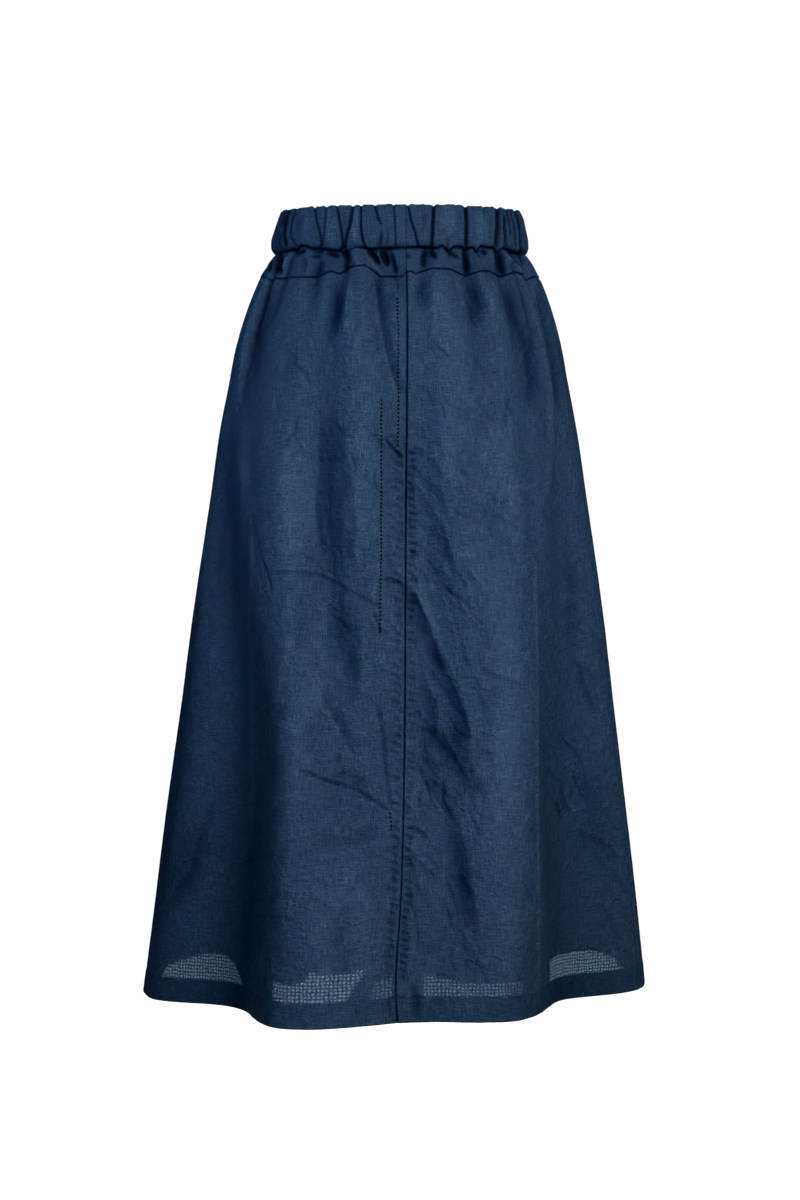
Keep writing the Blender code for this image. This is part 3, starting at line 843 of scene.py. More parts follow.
    def groove_pinch(self, angle: np.ndarray) -> np.ndarray:
        """How hard the groove pinches: it spares the bulge that runs on from the casing into the strip."""
        share = turn_between(angle, self.bridge) / self.bridge_reach
        return 1.0 - self.bridge_spared * np.exp(-share * share)

    def height(self, angle: np.ndarray, level: np.ndarray) -> np.ndarray:
        """Where the cloth stands once the strip's seam and the hem sway."""
        near_seam = ease(self.groove, self.seam, level) * ease(self.seam - self.seam_sway, self.seam, level)
        z = level + self.seam_rise(angle) * near_seam
        z = z + self.groove_rise(angle) * ease(self.groove - self.groove_sway, self.groove, level)
        lift = table_curve([row.angle for row in HEM_LIFTS], [row.lift for row in HEM_LIFTS],
                           turn_between(angle, 0.0))
        return z + lift * ease(self.hem + self.hem_sway, self.hem, level)

    def skirt(self, angle: np.ndarray, level: np.ndarray, push: Any) -> np.ndarray:
        """Place the strip's or a panel's cloth.

        Args:
            angle: Degrees round the waist.
            level: Height before the seams sway.
            push: Relief laid over the folds, in metres.

        Returns:
            Points, with x, y and z in the last axis.
        """
        whole = self.long_fold_push(angle, level) + self.gather_push(angle, level) + push
        return self.place(SKIRT_SECTIONS, angle, level, self.height(angle, level), whole)

    def edges(
        self, cut: Place, level: np.ndarray, sections: tuple[Section, ...]
    ) -> tuple[np.ndarray, np.ndarray]:
        """Find a piece's first and last angle, half a sewn gap inside its seams.

        Args:
            cut: Which cut of the ring.
            level: Heights.
            sections: The ring's table.

        Returns:
            First and last angle at each height.
        """
        centre = table_curve([row.z for row in CENTRE_SEAM], [row.angle for row in CENTRE_SEAM], level)
        side = np.full(level.shape, self.side_seam)
        first, last = {
            Place.FRONT_LEFT: (-side, centre),
            Place.FRONT_RIGHT: (centre, side),
            Place.BACK: (side, FULL_TURN - side),
        }[cut]
        half_gap = self.sewn_gap / 2
        return (
            first + half_gap / self.run_per_degree(sections, first, level),
            last - half_gap / self.run_per_degree(sections, last, level),
        )


@dataclass(frozen=True)
class Relief:
    """Everything that stands out of the form or sinks into it: crumples, creases and puckers."""

    form: SkirtForm
    view: FrontView
    depth_gain: float = 1.5
    lip_step: float = 0.22
    # Gain of a cut's valley in the painted shade: darker than its real depth makes it.
    cut_painted_shade: float = 2.2

    # Each layer: seed, degrees and metres in a cell, height in metres, and whether it is creased.
    layers: tuple[tuple[int, float, float, float, bool], ...] = (
        (11, 9.0, 0.150, 0.0030, False),
        (23, 6.0, 0.046, 0.0022, True),
        (37, 2.5, 0.021, 0.0014, True),
        (41, 1.5, 0.012, 0.0010, True),
    )

    def crumple(self, angle: np.ndarray, level: np.ndarray) -> np.ndarray:
        """The all-over unevenness of linen that has been in wear.

        Args:
            angle: Degrees round the waist.
            level: Heights.

        Returns:
            Outward push in metres.
        """
        total = np.zeros(angle.shape)
        for seed, degrees, down, height, creased in self.layers:
            across = turn_between(angle, 0.0) / degrees
            cells = round(FULL_TURN / degrees)
            bend = cloth_noise(seed + 1, across / 2, level / down / 2, cells // 2)
            value = cloth_noise(seed, across + 0.8 * bend, level / down + 0.8 * bend, cells)
            if creased:
                value = 0.3 - np.sqrt(value * value + 0.0015)
            total += height * value
        # The sides hang smoother than the front and the back.
        steady = 0.15 + 0.85 * ease(52.0, 28.0, off_centre(angle))
        steady = np.maximum(steady, 0.7 * ease(100.0, 130.0, off_centre(angle)))
        return total * steady * ease(self.form.seam + 0.012, self.form.seam - 0.030, level)

    def wrinkle(self, one: Wrinkle, across: np.ndarray, down: np.ndarray) -> np.ndarray:
        """One wrinkle's push.

        Args:
            one: The wrinkle.
            across: Where each point is seen, from the left.
            down: Where each point is seen, from the top.

        Returns:
            Outward push in metres at each point.
        """
        nearest = np.full(across.shape, np.inf)
        side = np.zeros(across.shape)
        along = np.zeros(across.shape)
        lengths = [math.dist(a, b) for a, b in zip(one.line, one.line[1:])]
        done = 0.0
        for (x0, y0), (x1, y1), length in zip(one.line, one.line[1:], lengths):
            dx, dy = (x1 - x0) / length, (y1 - y0) / length
            run = (across - x0) * dx + (down - y0) * dy
            held = np.clip(run, 0.0, length)
            distance = np.hypot(across - x0 - held * dx, down - y0 - held * dy)
            closer = distance < nearest
            nearest = np.where(closer, distance, nearest)
            side = np.where(closer, dx * (down - y0) - dy * (across - x0), side)
            along = np.where(closer, done + run, along)
            done += length
        total = sum(lengths)
        taper = min(0.35 * total, (1.5 if one.edge is Edge.LIP else 4.0) * one.reach)
        ends = ease(-one.reach, taper, along) * ease(total + one.reach, total - taper, along)
        if one.edge is Edge.SOFT:
            profile = np.exp(-((nearest / one.reach) ** 2))
        elif one.edge is Edge.CUT:
            shoulder = 4.0 * one.reach
            valley = 0.8 * one.reach
            profile = 0.78 * np.exp(-((nearest / valley) ** 1.4))
            profile += 0.22 * np.exp(-((nearest / shoulder) ** 2))
            profile -= 0.16 * np.exp(-(((nearest - 2.3 * one.reach) / valley) ** 2))
        else:
            crispness = 1.1
            shaded = np.exp(-((nearest / (1.4 * one.reach)) ** 3))
            lit = 0.6 * np.exp(-((nearest / (0.8 * one.reach)) ** 1.5))
            profile = -np.tanh(side / crispness) * np.where(side > 0, shaded, lit)
        return self.depth_gain * one.height * MM * profile * ends

    def puckers(self) -> list[Wrinkle]:
        """The short slanted puckers that the centre seam's stitching draws up on both its sides."""
        rng = np.random.default_rng(7)
        xs, ys = np.array(SEAM_LINE, float).T
        found = []
        for down in np.arange(458.0, 975.0, 8.5):
            x = np.interp(down, ys, xs) - rng.uniform(2, 4)
            rise = rng.uniform(3, 7)
            found.append(Wrinkle(-rng.uniform(1.3, 2.7), 1.7,
                                 ((x - rng.uniform(6, 12), down - rise), (x, down))))
        for down in np.arange(452.0, 980.0, 7.5):
            x = np.interp(down, ys, xs) + rng.uniform(1.5, 2.5)
            rise = rng.uniform(0, 4)
            deeper = 1.0 + 1.2 * float(ease(860.0, 930.0, down)) + 0.7 * float(ease(580.0, 545.0, down))
            found.append(Wrinkle(-deeper * rng.uniform(0.9, 1.7), 1.3,
                                 ((x, down), (x + rng.uniform(5, 12), down + rise)), Edge.CUT))
        return found

    def fine_creases(self) -> list[Wrinkle]:
        """The small sharp creases that linen keeps from being sat in and folded."""
        rng = np.random.default_rng(19)
        found = []
        for field in CREASE_FIELDS:
            for _ in range(field.count):
                x, y = rng.uniform(field.low, field.high)
                turn = math.radians(field.lean + field.stray * rng.normal())
                long = field.length * rng.uniform(0.4, 1.4)
                bow = long * rng.uniform(-0.18, 0.18)
                ahead, aside = (math.cos(turn), math.sin(turn)), (-math.sin(turn), math.cos(turn))
                line = (
                    (x, y),
                    (x + 0.5 * long * ahead[0] + bow * aside[0], y + 0.5 * long * ahead[1] + bow * aside[1]),
                    (x + long * ahead[0], y + long * ahead[1]),
                )
                height = rng.uniform(0.6, 1.7)
                if rng.random() < 0.4:
                    found.append(Wrinkle(-0.8 * height, 1.1, line, Edge.CUT))
                else:
                    found.append(Wrinkle(height, rng.uniform(1.8, 3.8), line, Edge.LIP))
        return found

    def push(self, cut: Place, angle: np.ndarray, level: np.ndarray) -> tuple[np.ndarray, np.ndarray]:
        """All the relief on one cut of a ring.

        Args:
            cut: Which cut.
            angle: Degrees round the waist, columns by rows.
            level: Heights, columns by rows.

        Returns:
            Outward push in metres, and the relief that painted shade and highlight are read from: a lip's
            two sides and a cut's valley are painted as unlike as those of deeper ones.
        """
        bare = self.form.skirt(angle, level, 0.0)
        if cut is Place.BACK:
            across, down = self.view.seen_from_behind(bare)
            wrinkles = [*WRINKLES, *self.fine_creases()]
        else:
            across, down = self.view.seen(bare)
            wrinkles = [*WRINKLES, *PLACKET_WRINKLES, *self.puckers(), *self.fine_creases()]
        # Where the view sees the cloth edge on, a line in it would run on round the side.
        edge_on = ease(86.0, 74.0, np.abs(turn_between(angle, 180.0 if cut is Place.BACK else 0.0)))
        kinds = {
            edge: edge_on * self.laid([one for one in wrinkles if one.edge is edge], across, down)
            for edge in Edge
        }
        even = self.crumple(angle, level) + kinds[Edge.SOFT]
        # Lips stand out only a little in the form. At full height, with the cuts' valleys gained, they set
        # the painted shade and highlight.
        pushed = even + kinds[Edge.CUT] + self.lip_step * kinds[Edge.LIP]
        return pushed, even + self.cut_painted_shade * kinds[Edge.CUT] + kinds[Edge.LIP]

    def laid(self, wrinkles: list[Wrinkle], across: np.ndarray, down: np.ndarray) -> np.ndarray:
        """Sum of the pushes of some wrinkles.

        Args:
            wrinkles: The wrinkles.
            across: Where each point is seen, from the left.
            down: Where each point is seen, from the top.

        Returns:
            Outward push in metres.
        """
        total = np.zeros(across.shape)
        for one in wrinkles:
            xs = [x for x, _ in one.line]
            ys = [y for _, y in one.line]
            room = 5 * one.reach + 4
            near = (across > min(xs) - room) & (across < max(xs) + room)
            near &= (down > min(ys) - room) & (down < max(ys) + room)
            if near.any():
                total[near] += self.wrinkle(one, across[near], down[near])
        return total


@dataclass
class Shell:
    """A closed wall of cloth, with an outer face and an inner face of half as many columns and rows."""

    name: str
    outer: np.ndarray
    inner: np.ndarray
    fields: dict[str, np.ndarray]
    smooth_top: bool = False
    inner_gain: dict[str, float] = field(default_factory=dict)

    def quads(self, columns: int, rows: int, start: int) -> np.ndarray:
        """Point numbers round each of a grid's faces, from the grid's first point number."""
        number = start + np.arange(columns * rows).reshape(columns, rows)
        corners = number[:-1, :-1], number[:-1, 1:], number[1:, 1:], number[1:, :-1]
        return np.stack(corners, -1).reshape(-1, 4)

    def ring(self, columns: int, rows: int, start: int) -> np.ndarray:
        """Point numbers round a grid's border.

        Args:
            columns: The grid's columns.
            rows: The grid's rows.
            start: Number of the grid's first point.

        Returns:
            Numbers along the top, down the last column, back along the bottom and up the first.
        """
        number = start + np.arange(columns * rows).reshape(columns, rows)
        return np.concatenate([number[:, 0], number[-1, 1:], number[-2::-1, -1], number[0, -2:0:-1]])

    def build(self, material: bpy.types.Material) -> bpy.types.Object:
        """Make the mesh object.

        Args:
            material: The cloth.

        Returns:
            The piece, linked to the scene.
        """
        columns, rows = self.outer.shape[:2]
        few_columns, few_rows = self.inner.shape[:2]
        start = columns * rows
        quads = self.quads(columns, rows, 0)
        backs = self.quads(few_columns, few_rows, start)[:, [0, 3, 2, 1]]
        fine = self.ring(columns, rows, 0)
        coarse = self.ring(few_columns, few_rows, start)
        here, middle, there = fine[0::2], fine[1::2], np.roll(fine, -2)[0::2]
        under, beyond = coarse, np.roll(coarse, -1)
        rim = np.concatenate([
            np.stack([here, middle, under], -1),
            np.stack([middle, beyond, under], -1),
            np.stack([middle, there, beyond], -1),
        ])
        points = np.concatenate([self.outer.reshape(-1, 3), self.inner.reshape(-1, 3)])
        faces = [*quads.tolist(), *backs.tolist(), *rim.tolist()]
        piece = put_mesh(self.name, points.tolist(), faces, material)
        data = piece.data
        top_share = np.arange(len(coarse)) < few_columns - 1
        rim_smooth = np.tile(top_share & self.smooth_top, 3)
        smooth = np.concatenate([np.ones(len(quads) + len(backs), bool), rim_smooth])
        data.polygons.foreach_set("use_smooth", smooth)
        for name, values in self.fields.items():
            kind = "FLOAT_VECTOR" if values.ndim == 3 else "FLOAT"
            layer = data.attributes.new(name, kind, "POINT")
            behind = values[::2, ::2].reshape(few_columns * few_rows, -1) * self.inner_gain.get(name, 1.0)
            both = np.concatenate([values.reshape(start, -1), behind])
            layer.data.foreach_set("vector" if values.ndim == 3 else "value", both.astype(np.float32).ravel())
        data.update()
        return piece


def outward(points: np.ndarray) -> np.ndarray:
    """Unit normals of a grid of points, columns by rows from the top down, on its outer side."""
    normal = np.cross(np.gradient(points, axis=1), np.gradient(points, axis=0))
    return normal / np.maximum(np.linalg.norm(normal, axis=-1, keepdims=True), 1e-12)


def stations(*spans: tuple[float, float, float]) -> np.ndarray:
    """String out positions along a line.

    Args:
        spans: Start, end and step of each stretch, each starting where the last one ends.

    Returns:
        The positions, an odd number of them.
    """
    counts = [max(1, round(abs(end - start) / step)) for start, end, step in spans]
    if sum(counts) % 2:
        counts[counts.index(max(counts))] += 1
    parts = [np.linspace(start, end, count + 1)[:-1] for (start, end, _), count in zip(spans, counts)]
    return np.concatenate([*parts, [spans[-1][1]]])


@dataclass(frozen=True)
class SeamWell:
    """The small valley that a sewn edge makes: its depth, and how fast it rises away from the edge."""

    depth: float
    reach: float

    def sink(self, away: np.ndarray) -> np.ndarray:
        """How deep the cloth lies at a distance from the sewn edge."""
        return self.depth * np.exp(-away / self.reach)


@dataclass(frozen=True)
class SkirtPiece:
    """What the strip and the panels share: a cut of the skirt between two heights."""

    form: SkirtForm
    relief: Relief
    cut: Place
    front_width: float = 0.16
    back_width: float = 0.40
    centre_well: SeamWell = SeamWell(0.0028, 0.0007)
    side_well: SeamWell = SeamWell(0.0020, 0.0010)
    lapped_rise: float = 0.0006
    lapped_reach: float = 0.0035
    full_rise: float = 0.0035
    seam_shade: float = 2.0
    seam_shade_reach: float = 0.0009
    groove_share: float = 0.55

    def columns(self, step: float) -> np.ndarray:
        """Shares of the width at which the columns stand, close together beside the seams."""
        width = self.back_width if self.cut is Place.BACK else self.front_width
        seam, near = 0.0012, 0.0040
        marks = stations(
            (0.0, seam, 0.0003), (seam, near, 0.0007), (near, width - near, step),
            (width - near, width - seam, 0.0007), (width - seam, width, 0.0003),
        )
        return marks / width

    def grid(self, shares: np.ndarray, levels: np.ndarray) -> tuple[np.ndarray, np.ndarray]:
        """Angles and heights of a grid, columns by rows.

        Args:
            shares: Columns, from 0 at the piece's first edge to 1 at its last.
            levels: Rows, from the top down.

        Returns:
            Angle and level of every point.
        """
        level = np.broadcast_to(levels, (len(shares), len(levels))).copy()
        first, last = self.form.edges(self.cut, levels, SKIRT_SECTIONS)
        return first + (last - first) * shares[:, None], level

    def faces(self, angle: np.ndarray, level: np.ndarray, relief: np.ndarray, sink: np.ndarray,
              wall: Any) -> tuple[np.ndarray, np.ndarray]:
        """The wall's two faces.

        Args:
            angle: Degrees round the waist, columns by rows.
            level: Heights, columns by rows.
            relief: Outward push of creases and crumples.
            sink: Inward push beside the seams.
            wall: Thickness of the wall.

        Returns:
            The outer face, and an inner face with half its columns and rows, which is softer.
        """
        outer = self.form.skirt(angle, level, relief - sink)
        soft = self.form.skirt(angle, level, blurred(relief, 2) - sink)
        way = outward(self.form.skirt(angle, level, blurred(relief, 4)))
        inner = (soft - np.asarray(wall)[..., None] * way)[::2, ::2]
        for row in (0, -1):
            inner[:, row, 2] = outer[::2, row, 2]
        return outer, inner

    def rise(self, angle: np.ndarray, level: np.ndarray, relief: np.ndarray, *sewn: np.ndarray) -> np.ndarray:
        """How far each point is painted as a lit crest, at 1, or as a shaded trough, at -1: painted highlight
        and shade.

        Args:
            angle: Degrees round the waist.
            level: Heights.
            relief: The relief's outward push.
            sewn: Distances from the rows where cloth is sewn to cloth, along which shade is painted.

        Returns:
            The values.
        """
        # Painted shade in the valleys of the gathers and the long folds.
        folds = 0.36 * self.form.gather_push(angle, level) + 0.06 * self.form.long_fold_push(angle, level)
        found = np.clip((relief + folds) / self.full_rise, -2.4, 1.0)
        reach = self.seam_shade_reach * (1.0 - 0.3 * ease(-0.45, -0.66, level))
        # Painted shadow along each sewn row.
        for away in sewn:
            found = found - self.seam_shade * np.exp(-((away / reach) ** 2))
        return np.clip(found, -2.6, 1.0)

    def side_away(self, angle: np.ndarray, level: np.ndarray) -> np.ndarray:
        """Metres to the nearer upright seam."""
        run = self.form.run_per_degree(SKIRT_SECTIONS, angle, level)
        return np.minimum((angle - angle[:1]) * run, (angle[-1:] - angle) * run)

    def side_sink(self, angle: np.ndarray, level: np.ndarray) -> np.ndarray:
        """How deep the cloth lies beside the piece's upright seams, and how the lapped edge stands up.

        Args:
            angle: Degrees round the waist.
            level: Heights.

        Returns:
            Depth in metres, below zero where the cloth stands proud.
        """
        run = self.form.run_per_degree(SKIRT_SECTIONS, angle, level)
        from_first = (angle - angle[:1]) * run
        from_last = (angle[-1:] - angle) * run
        first_well = self.centre_well if self.cut is Place.FRONT_RIGHT else self.side_well
        last_well = self.centre_well if self.cut is Place.FRONT_LEFT else self.side_well
        sink = first_well.sink(from_first) + last_well.sink(from_last)
        if self.cut is Place.FRONT_LEFT:
            sink -= self.lapped_rise * np.exp(-((from_last / self.lapped_reach) ** 2))
        return sink

    def cloth_run(self, angle: np.ndarray, level: np.ndarray) -> np.ndarray:
        """Metres along and down the cloth, which its threads follow."""
        middle = np.full(angle.shape, -0.36)
        half = 180.0 if self.cut is Place.BACK else 0.0
        across = np.radians(turn_between(angle, half) + half) * 0.19 * (1 + 0.35 * (middle - level))
        return np.stack([across, level, np.zeros(angle.shape)], -1)


@dataclass(frozen=True)
class WaistStrip(SkirtPiece):
    """The plain strip between the casing's channel stitching and the gathered seam."""

    wall: float = 0.0018
    step: float = 0.0008
    centre_well: SeamWell = SeamWell(0.0008, 0.0005)
    centre_shade: float = 2.4
    groove_well: SeamWell = SeamWell(0.0016, 0.0007)
    seam_well: SeamWell = SeamWell(0.0012, 0.0005)
    full_rise: float = 0.0030
    lip: float = 0.0004

    def build(self, material: bpy.types.Material) -> bpy.types.Object:
        """Make the strip's cut."""
        form = self.form
        levels = stations((form.groove - form.sewn_gap / 2, form.seam + form.sewn_gap / 2, self.step))
        angle, level = self.grid(self.columns(self.step), levels)
        relief, painted_light = self.relief.push(self.cut, angle, level)
        pockets = form.pocket_push(angle, level)
        relief, painted_light = relief + pockets, painted_light + pockets
        sink = self.side_sink(angle, level)
        pinch = form.groove_pinch(angle)
        sink += self.groove_well.sink(form.groove - level) * pinch + self.seam_well.sink(level - form.seam)
        sink -= self.lip * np.exp(-(((level - form.seam) / 0.003) ** 2))
        outer, inner = self.faces(angle, level, relief, sink, self.wall)
        # The rise field is painted shade and highlight: it darkens troughs, the centre seam, the groove and
        # the lower seam, and pales crests.
        fields = {"cloth_run": self.cloth_run(angle, level), "sheer": np.zeros(angle.shape),
                  "rise": self.rise(angle, level, painted_light, self.centre_shade * self.side_away(angle, level),
                                    self.groove_share * (form.groove - level) / pinch, level - form.seam)}
        return Shell(f"waist_strip_{self.cut.value}_linen", outer, inner, fields).build(material)


class SheerPatch(NamedTuple):
    """Where a single layer lets light through above the hem.

    Its share of light at the left and at the right, how far its right end leans for each step down, and its
    upper edge in the front view.
    """

    left: float
    right: float
    lean: float
    top: tuple[tuple[float, float], ...]


SHEER_PATCHES = (
    SheerPatch(2.2, 1.5, 0.3, ((159, 969), (180, 960), (197, 955.5), (214, 953), (226, 955), (234, 962.5),
                               (239, 974))),
    SheerPatch(1.85, 1.9, -0.65, ((272, 981), (291, 985.5), (300, 983), (306, 979), (310, 971), (317, 974),
                                 (346, 972.5), (367, 969.5))),
    SheerPatch(0.8, 1.3, 0.0, ((371, 985), (380, 980), (393, 977))),
    SheerPatch(1.5, 1.2, 0.0, ((424, 974), (440, 977), (460, 982), (490, 984), (505, 981), (523, 982))),
    SheerPatch(2.5, 2.0, 0.0, ((550, 961), (554, 957), (570, 950.5), (581, 949), (598, 951.5), (615, 958),
                               (633, 966))),
)


@dataclass(frozen=True)
class Panel(SkirtPiece):
    """A flared panel with its hem turned up inside."""

    wall: float = 0.0012
    hem_wall: float = 0.0024
    front_width: float = 0.33
    back_width: float = 0.55
    front_step: float = 0.00198
    back_step: float = 0.0029
    front_column: float = 0.0016335
    back_column: float = 0.0039875
    near_seam: float = 0.004
    near_turn: float = 0.003
    near_hem: float = 0.002
    top_well: SeamWell = SeamWell(0.0018, 0.0007)
    turn_well: SeamWell = SeamWell(0.0003, 0.0012)
    turn_puff: float = 0.0004
    band_shade: float = 0.4
    hem_roll: SeamWell = SeamWell(0.0009, 0.0006)

    def sheer(self, points: np.ndarray, level: np.ndarray) -> np.ndarray:
        """How much of the light passes one layer, from 0 to 1, at each point.

        Args:
            points: The panel's outer face.
            level: Heights.

        Returns:
            The share.
        """
        if self.cut is Place.BACK:
            return np.zeros(level.shape)
        across, down = self.relief.view.seen(points)
        blend = 1.2
        share = np.zeros(level.shape)
        for patch in SHEER_PATCHES:
            xs, ys = np.array(patch.top, float).T
            upper = np.interp(across, xs, ys)
            end = xs[-1] + patch.lean * (down - ys[-1])
            inside = ease(xs[0] - blend, xs[0] + blend, across) * ease(end + blend, end - blend, across)
            inside = inside * ease(upper - blend, upper + blend, down)
            share = np.maximum(share, np.interp(across, [xs[0], xs[-1]], [patch.left, patch.right]) * inside)
        turn = self.form.hem + self.form.hem_turn
        return share * (level > turn + 0.0003)

    def build(self, material: bpy.types.Material) -> tuple[bpy.types.Object, np.ndarray, int]:
        """Make the panel.

        Args:
            material: Its cloth.

        Returns:
            The piece, its outer face's points, and the row that the hem's stitching lies on.
        """
        form = self.form
        turn = form.hem + form.hem_turn
        step, column = self.front_step, self.front_column
        if self.cut is Place.BACK:
            step, column = self.back_step, self.back_column
        top = form.seam - form.sewn_gap / 2
        fine = 0.0006
        levels = stations(
            (top, top - self.near_seam, fine), (top - self.near_seam, turn + self.near_turn, step),
            (turn + self.near_turn, turn, fine), (turn, turn - self.near_turn, fine),
            (turn - self.near_turn, form.hem + self.near_hem, step),
            (form.hem + self.near_hem, form.hem, 0.0004),
        )
        angle, level = self.grid(self.columns(column), levels)
        relief, painted_light = self.relief.push(self.cut, angle, level)
        sink = self.side_sink(angle, level)
        sink += self.top_well.sink(form.seam - level) + self.hem_roll.sink(level - form.hem)
        sink += self.turn_well.sink(np.abs(level - turn))
        sink -= self.turn_puff * ease(turn, turn - self.near_turn, level)
        wall = self.wall + (self.hem_wall - self.wall) * ease(turn + 0.001, turn - 0.001, level)
        outer, inner = self.faces(angle, level, relief, sink, wall)
        # Painted shade and highlight from the relief, with painted shade along the seams and over the
        # double-layered hem band.
        rise = self.rise(angle, level, painted_light, self.side_away(angle, level), form.seam - level)
        fields = {"cloth_run": self.cloth_run(angle, level), "sheer": self.sheer(outer, level),
                  "rise": rise - self.band_shade * (level < turn)}
        # The wall stands for one thickness of cloth, so only its outer face holds the light back.
        shell = Shell(f"panel_{self.cut.value}_linen", outer, inner, fields, inner_gain={"sheer": 12.0})
        piece = shell.build(material)
        return piece, outer, int(np.argmin(np.abs(levels - turn)))


@dataclass(frozen=True)
class Casing:
    """The gathered casing round the elastic, creased all round and pinched in at the groove."""

    form: SkirtForm
    relief: Relief
    cut: Place
    wall: float = 0.0036
    step: float = 0.0006
    row_step: float = 0.0010
    front_width: float = 0.144
    back_width: float = 0.36
    ripple: float = 0.0003
    bulge: float = 0.0016
    bulge_reach: float = 0.008
    groove_reach: float = 0.007
    notch: float = 0.8
    groove_well: SeamWell = SeamWell(0.0018, 0.0008)
    back_creases: int = 28
    steps_per_degree: float = 2.0

    def back_lines(self) -> list[Wrinkle]:
        """The back's creases, at an even step made uneven by slow waves, in steps from the back's middle."""
        found = []
        first, span, sway = -98.0, 196.0, 1.9
        for i in range(self.back_creases):
            turn = first + span * (i + 0.5) / self.back_creases + sway * math.sin(2.4 * i)
            x = self.steps_per_degree * turn
            lean = 4.5 * math.sin(1.7 * i)
            depth = 2.2 + 1.1 * math.sin(2.9 * i)
            found.append(Wrinkle(-depth, 1.0 + 0.25 * depth, (
                (x - lean, 200.0), (x - 0.2 * lean, 225.0), (x + lean, 258.0)), Edge.CUT))
        return found

    def creases(self, angle: np.ndarray, z: np.ndarray) -> np.ndarray:
        """The creases' push, below zero where they cut in.

        Args:
            angle: Degrees round the waist.
            z: Heights.

        Returns:
            Push in metres.
        """
        bare = self.form.place(CASING_SECTIONS, angle, z, z, 0.0)
        across, down = self.relief.view.seen(bare)
        lines = list(CASING_WRINKLES)
        if self.cut is Place.BACK:
            _, down = self.relief.view.seen(bare * HALF_TURN)
            across = self.steps_per_degree * turn_between(angle, 180.0)
            lines = self.back_lines()
        return self.relief.laid(lines, across, down) / self.relief.depth_gain

    def build(self, material: bpy.types.Material) -> bpy.types.Object:
        """Make the casing's cut."""
        form = self.form
        round_over = self.wall / 2
        shoulder = form.casing_top - round_over
        crown = np.radians([84.0, 66.0, 48.0, 32.0, 16.0])
        below = stations((shoulder, form.groove + form.sewn_gap / 2, self.row_step))
        drop = np.concatenate([shoulder + round_over * np.sin(crown), below])
        sunk = np.concatenate([round_over * (1 - np.cos(crown)), np.zeros(len(below))])
        if len(drop) % 2 == 0:
            drop, sunk = np.delete(drop, 1), np.delete(sunk, 1)
        width = self.back_width if self.cut is Place.BACK else self.front_width
        seam = 0.0010
        shares = stations(
            (0.0, seam, 0.00025), (seam, width - seam, self.step), (width - seam, width, 0.00025)
        ) / width
        z = np.broadcast_to(drop, (len(shares), len(drop))).copy()
        first, last = form.edges(self.cut, drop, CASING_SECTIONS)
        angle = first + (last - first) * shares[:, None]
        relief = self.creases(angle, z)
        depth = np.maximum(-relief, 0.0)
        across = turn_between(angle, 0.0)
        small = self.ripple * cloth_noise(61, across / 3.0, z / 0.030, 120)
        bumps = self.bulge * cloth_noise(62, across / 2.0, z / 0.050, 180)
        run = form.run_per_degree(CASING_SECTIONS, angle, z)
        edge = np.minimum((angle - angle[:1]) * run, (angle[-1:] - angle) * run)
        seam_sink = SeamWell(0.0012, 0.0005).sink(edge)
        pinch = form.groove_pinch(angle)
        groove_sink = self.groove_well.sink(z - form.groove) * pinch
        top = ease(form.casing_top - self.bulge_reach, form.casing_top, z)
        low = ease(form.groove + self.groove_reach, form.groove, z)
        rise = (bumps - self.notch * depth) * top + form.groove_rise(angle) * low
        push = small + relief - seam_sink - groove_sink - sunk[None, :]
        outer = form.place(CASING_SECTIONS, angle, z, z + rise, push)

        few = angle[::2, ::2]
        turn_in = np.radians(np.linspace(96.0, 180.0, 4))
        under = np.linspace(shoulder, form.groove + form.sewn_gap / 2, z.shape[1] // 2 + 1 - 3)
        inside = np.concatenate([shoulder + round_over * np.sin(turn_in[:3]), under])
        inside_sunk = np.concatenate([
            round_over * (1 - np.cos(turn_in[:3])), np.full(len(under), self.wall)
        ])
        z_in = np.broadcast_to(inside, few.shape).copy()
        first, last = form.edges(self.cut, inside, CASING_SECTIONS)
        few = first + (last - first) * shares[::2, None]
        deepest = 0.0032
        depth_in = np.clip(-self.creases(few, z_in), 0.0, deepest)
        pillow = 0.0009 * (1 - depth_in / deepest)
        pillow = pillow * ease(form.casing_top, form.casing_top - 0.005, z_in)
        deeper = np.minimum(self.groove_well.sink(z_in - form.groove), 0.002)
        rise_in = -self.notch * depth_in * ease(form.casing_top - self.bulge_reach, form.casing_top, z_in)
        rise_in += form.groove_rise(few) * ease(form.groove + self.groove_reach, form.groove, z_in)
        inner = form.place(CASING_SECTIONS, few, z_in, z_in + rise_in,
                           -inside_sunk[None, :] - pillow - deeper - 0.0004)
        run_field = np.stack([np.radians(across) * 0.11, z, np.zeros(z.shape)], -1)
        # Painted shade: creases are darkened by their depth, with a painted shadow along the groove.
        painted_light = relief / 0.0010 - 2.4 * pinch * np.exp(-((z - form.groove) / 0.0014) ** 2)
        fields = {"cloth_run": run_field, "sheer": np.zeros(z.shape), "rise": np.clip(painted_light, -2.6, 0.8)}
        shell = Shell(f"casing_{self.cut.value}_linen", outer, inner, fields, smooth_top=True)
        return shell.build(material)


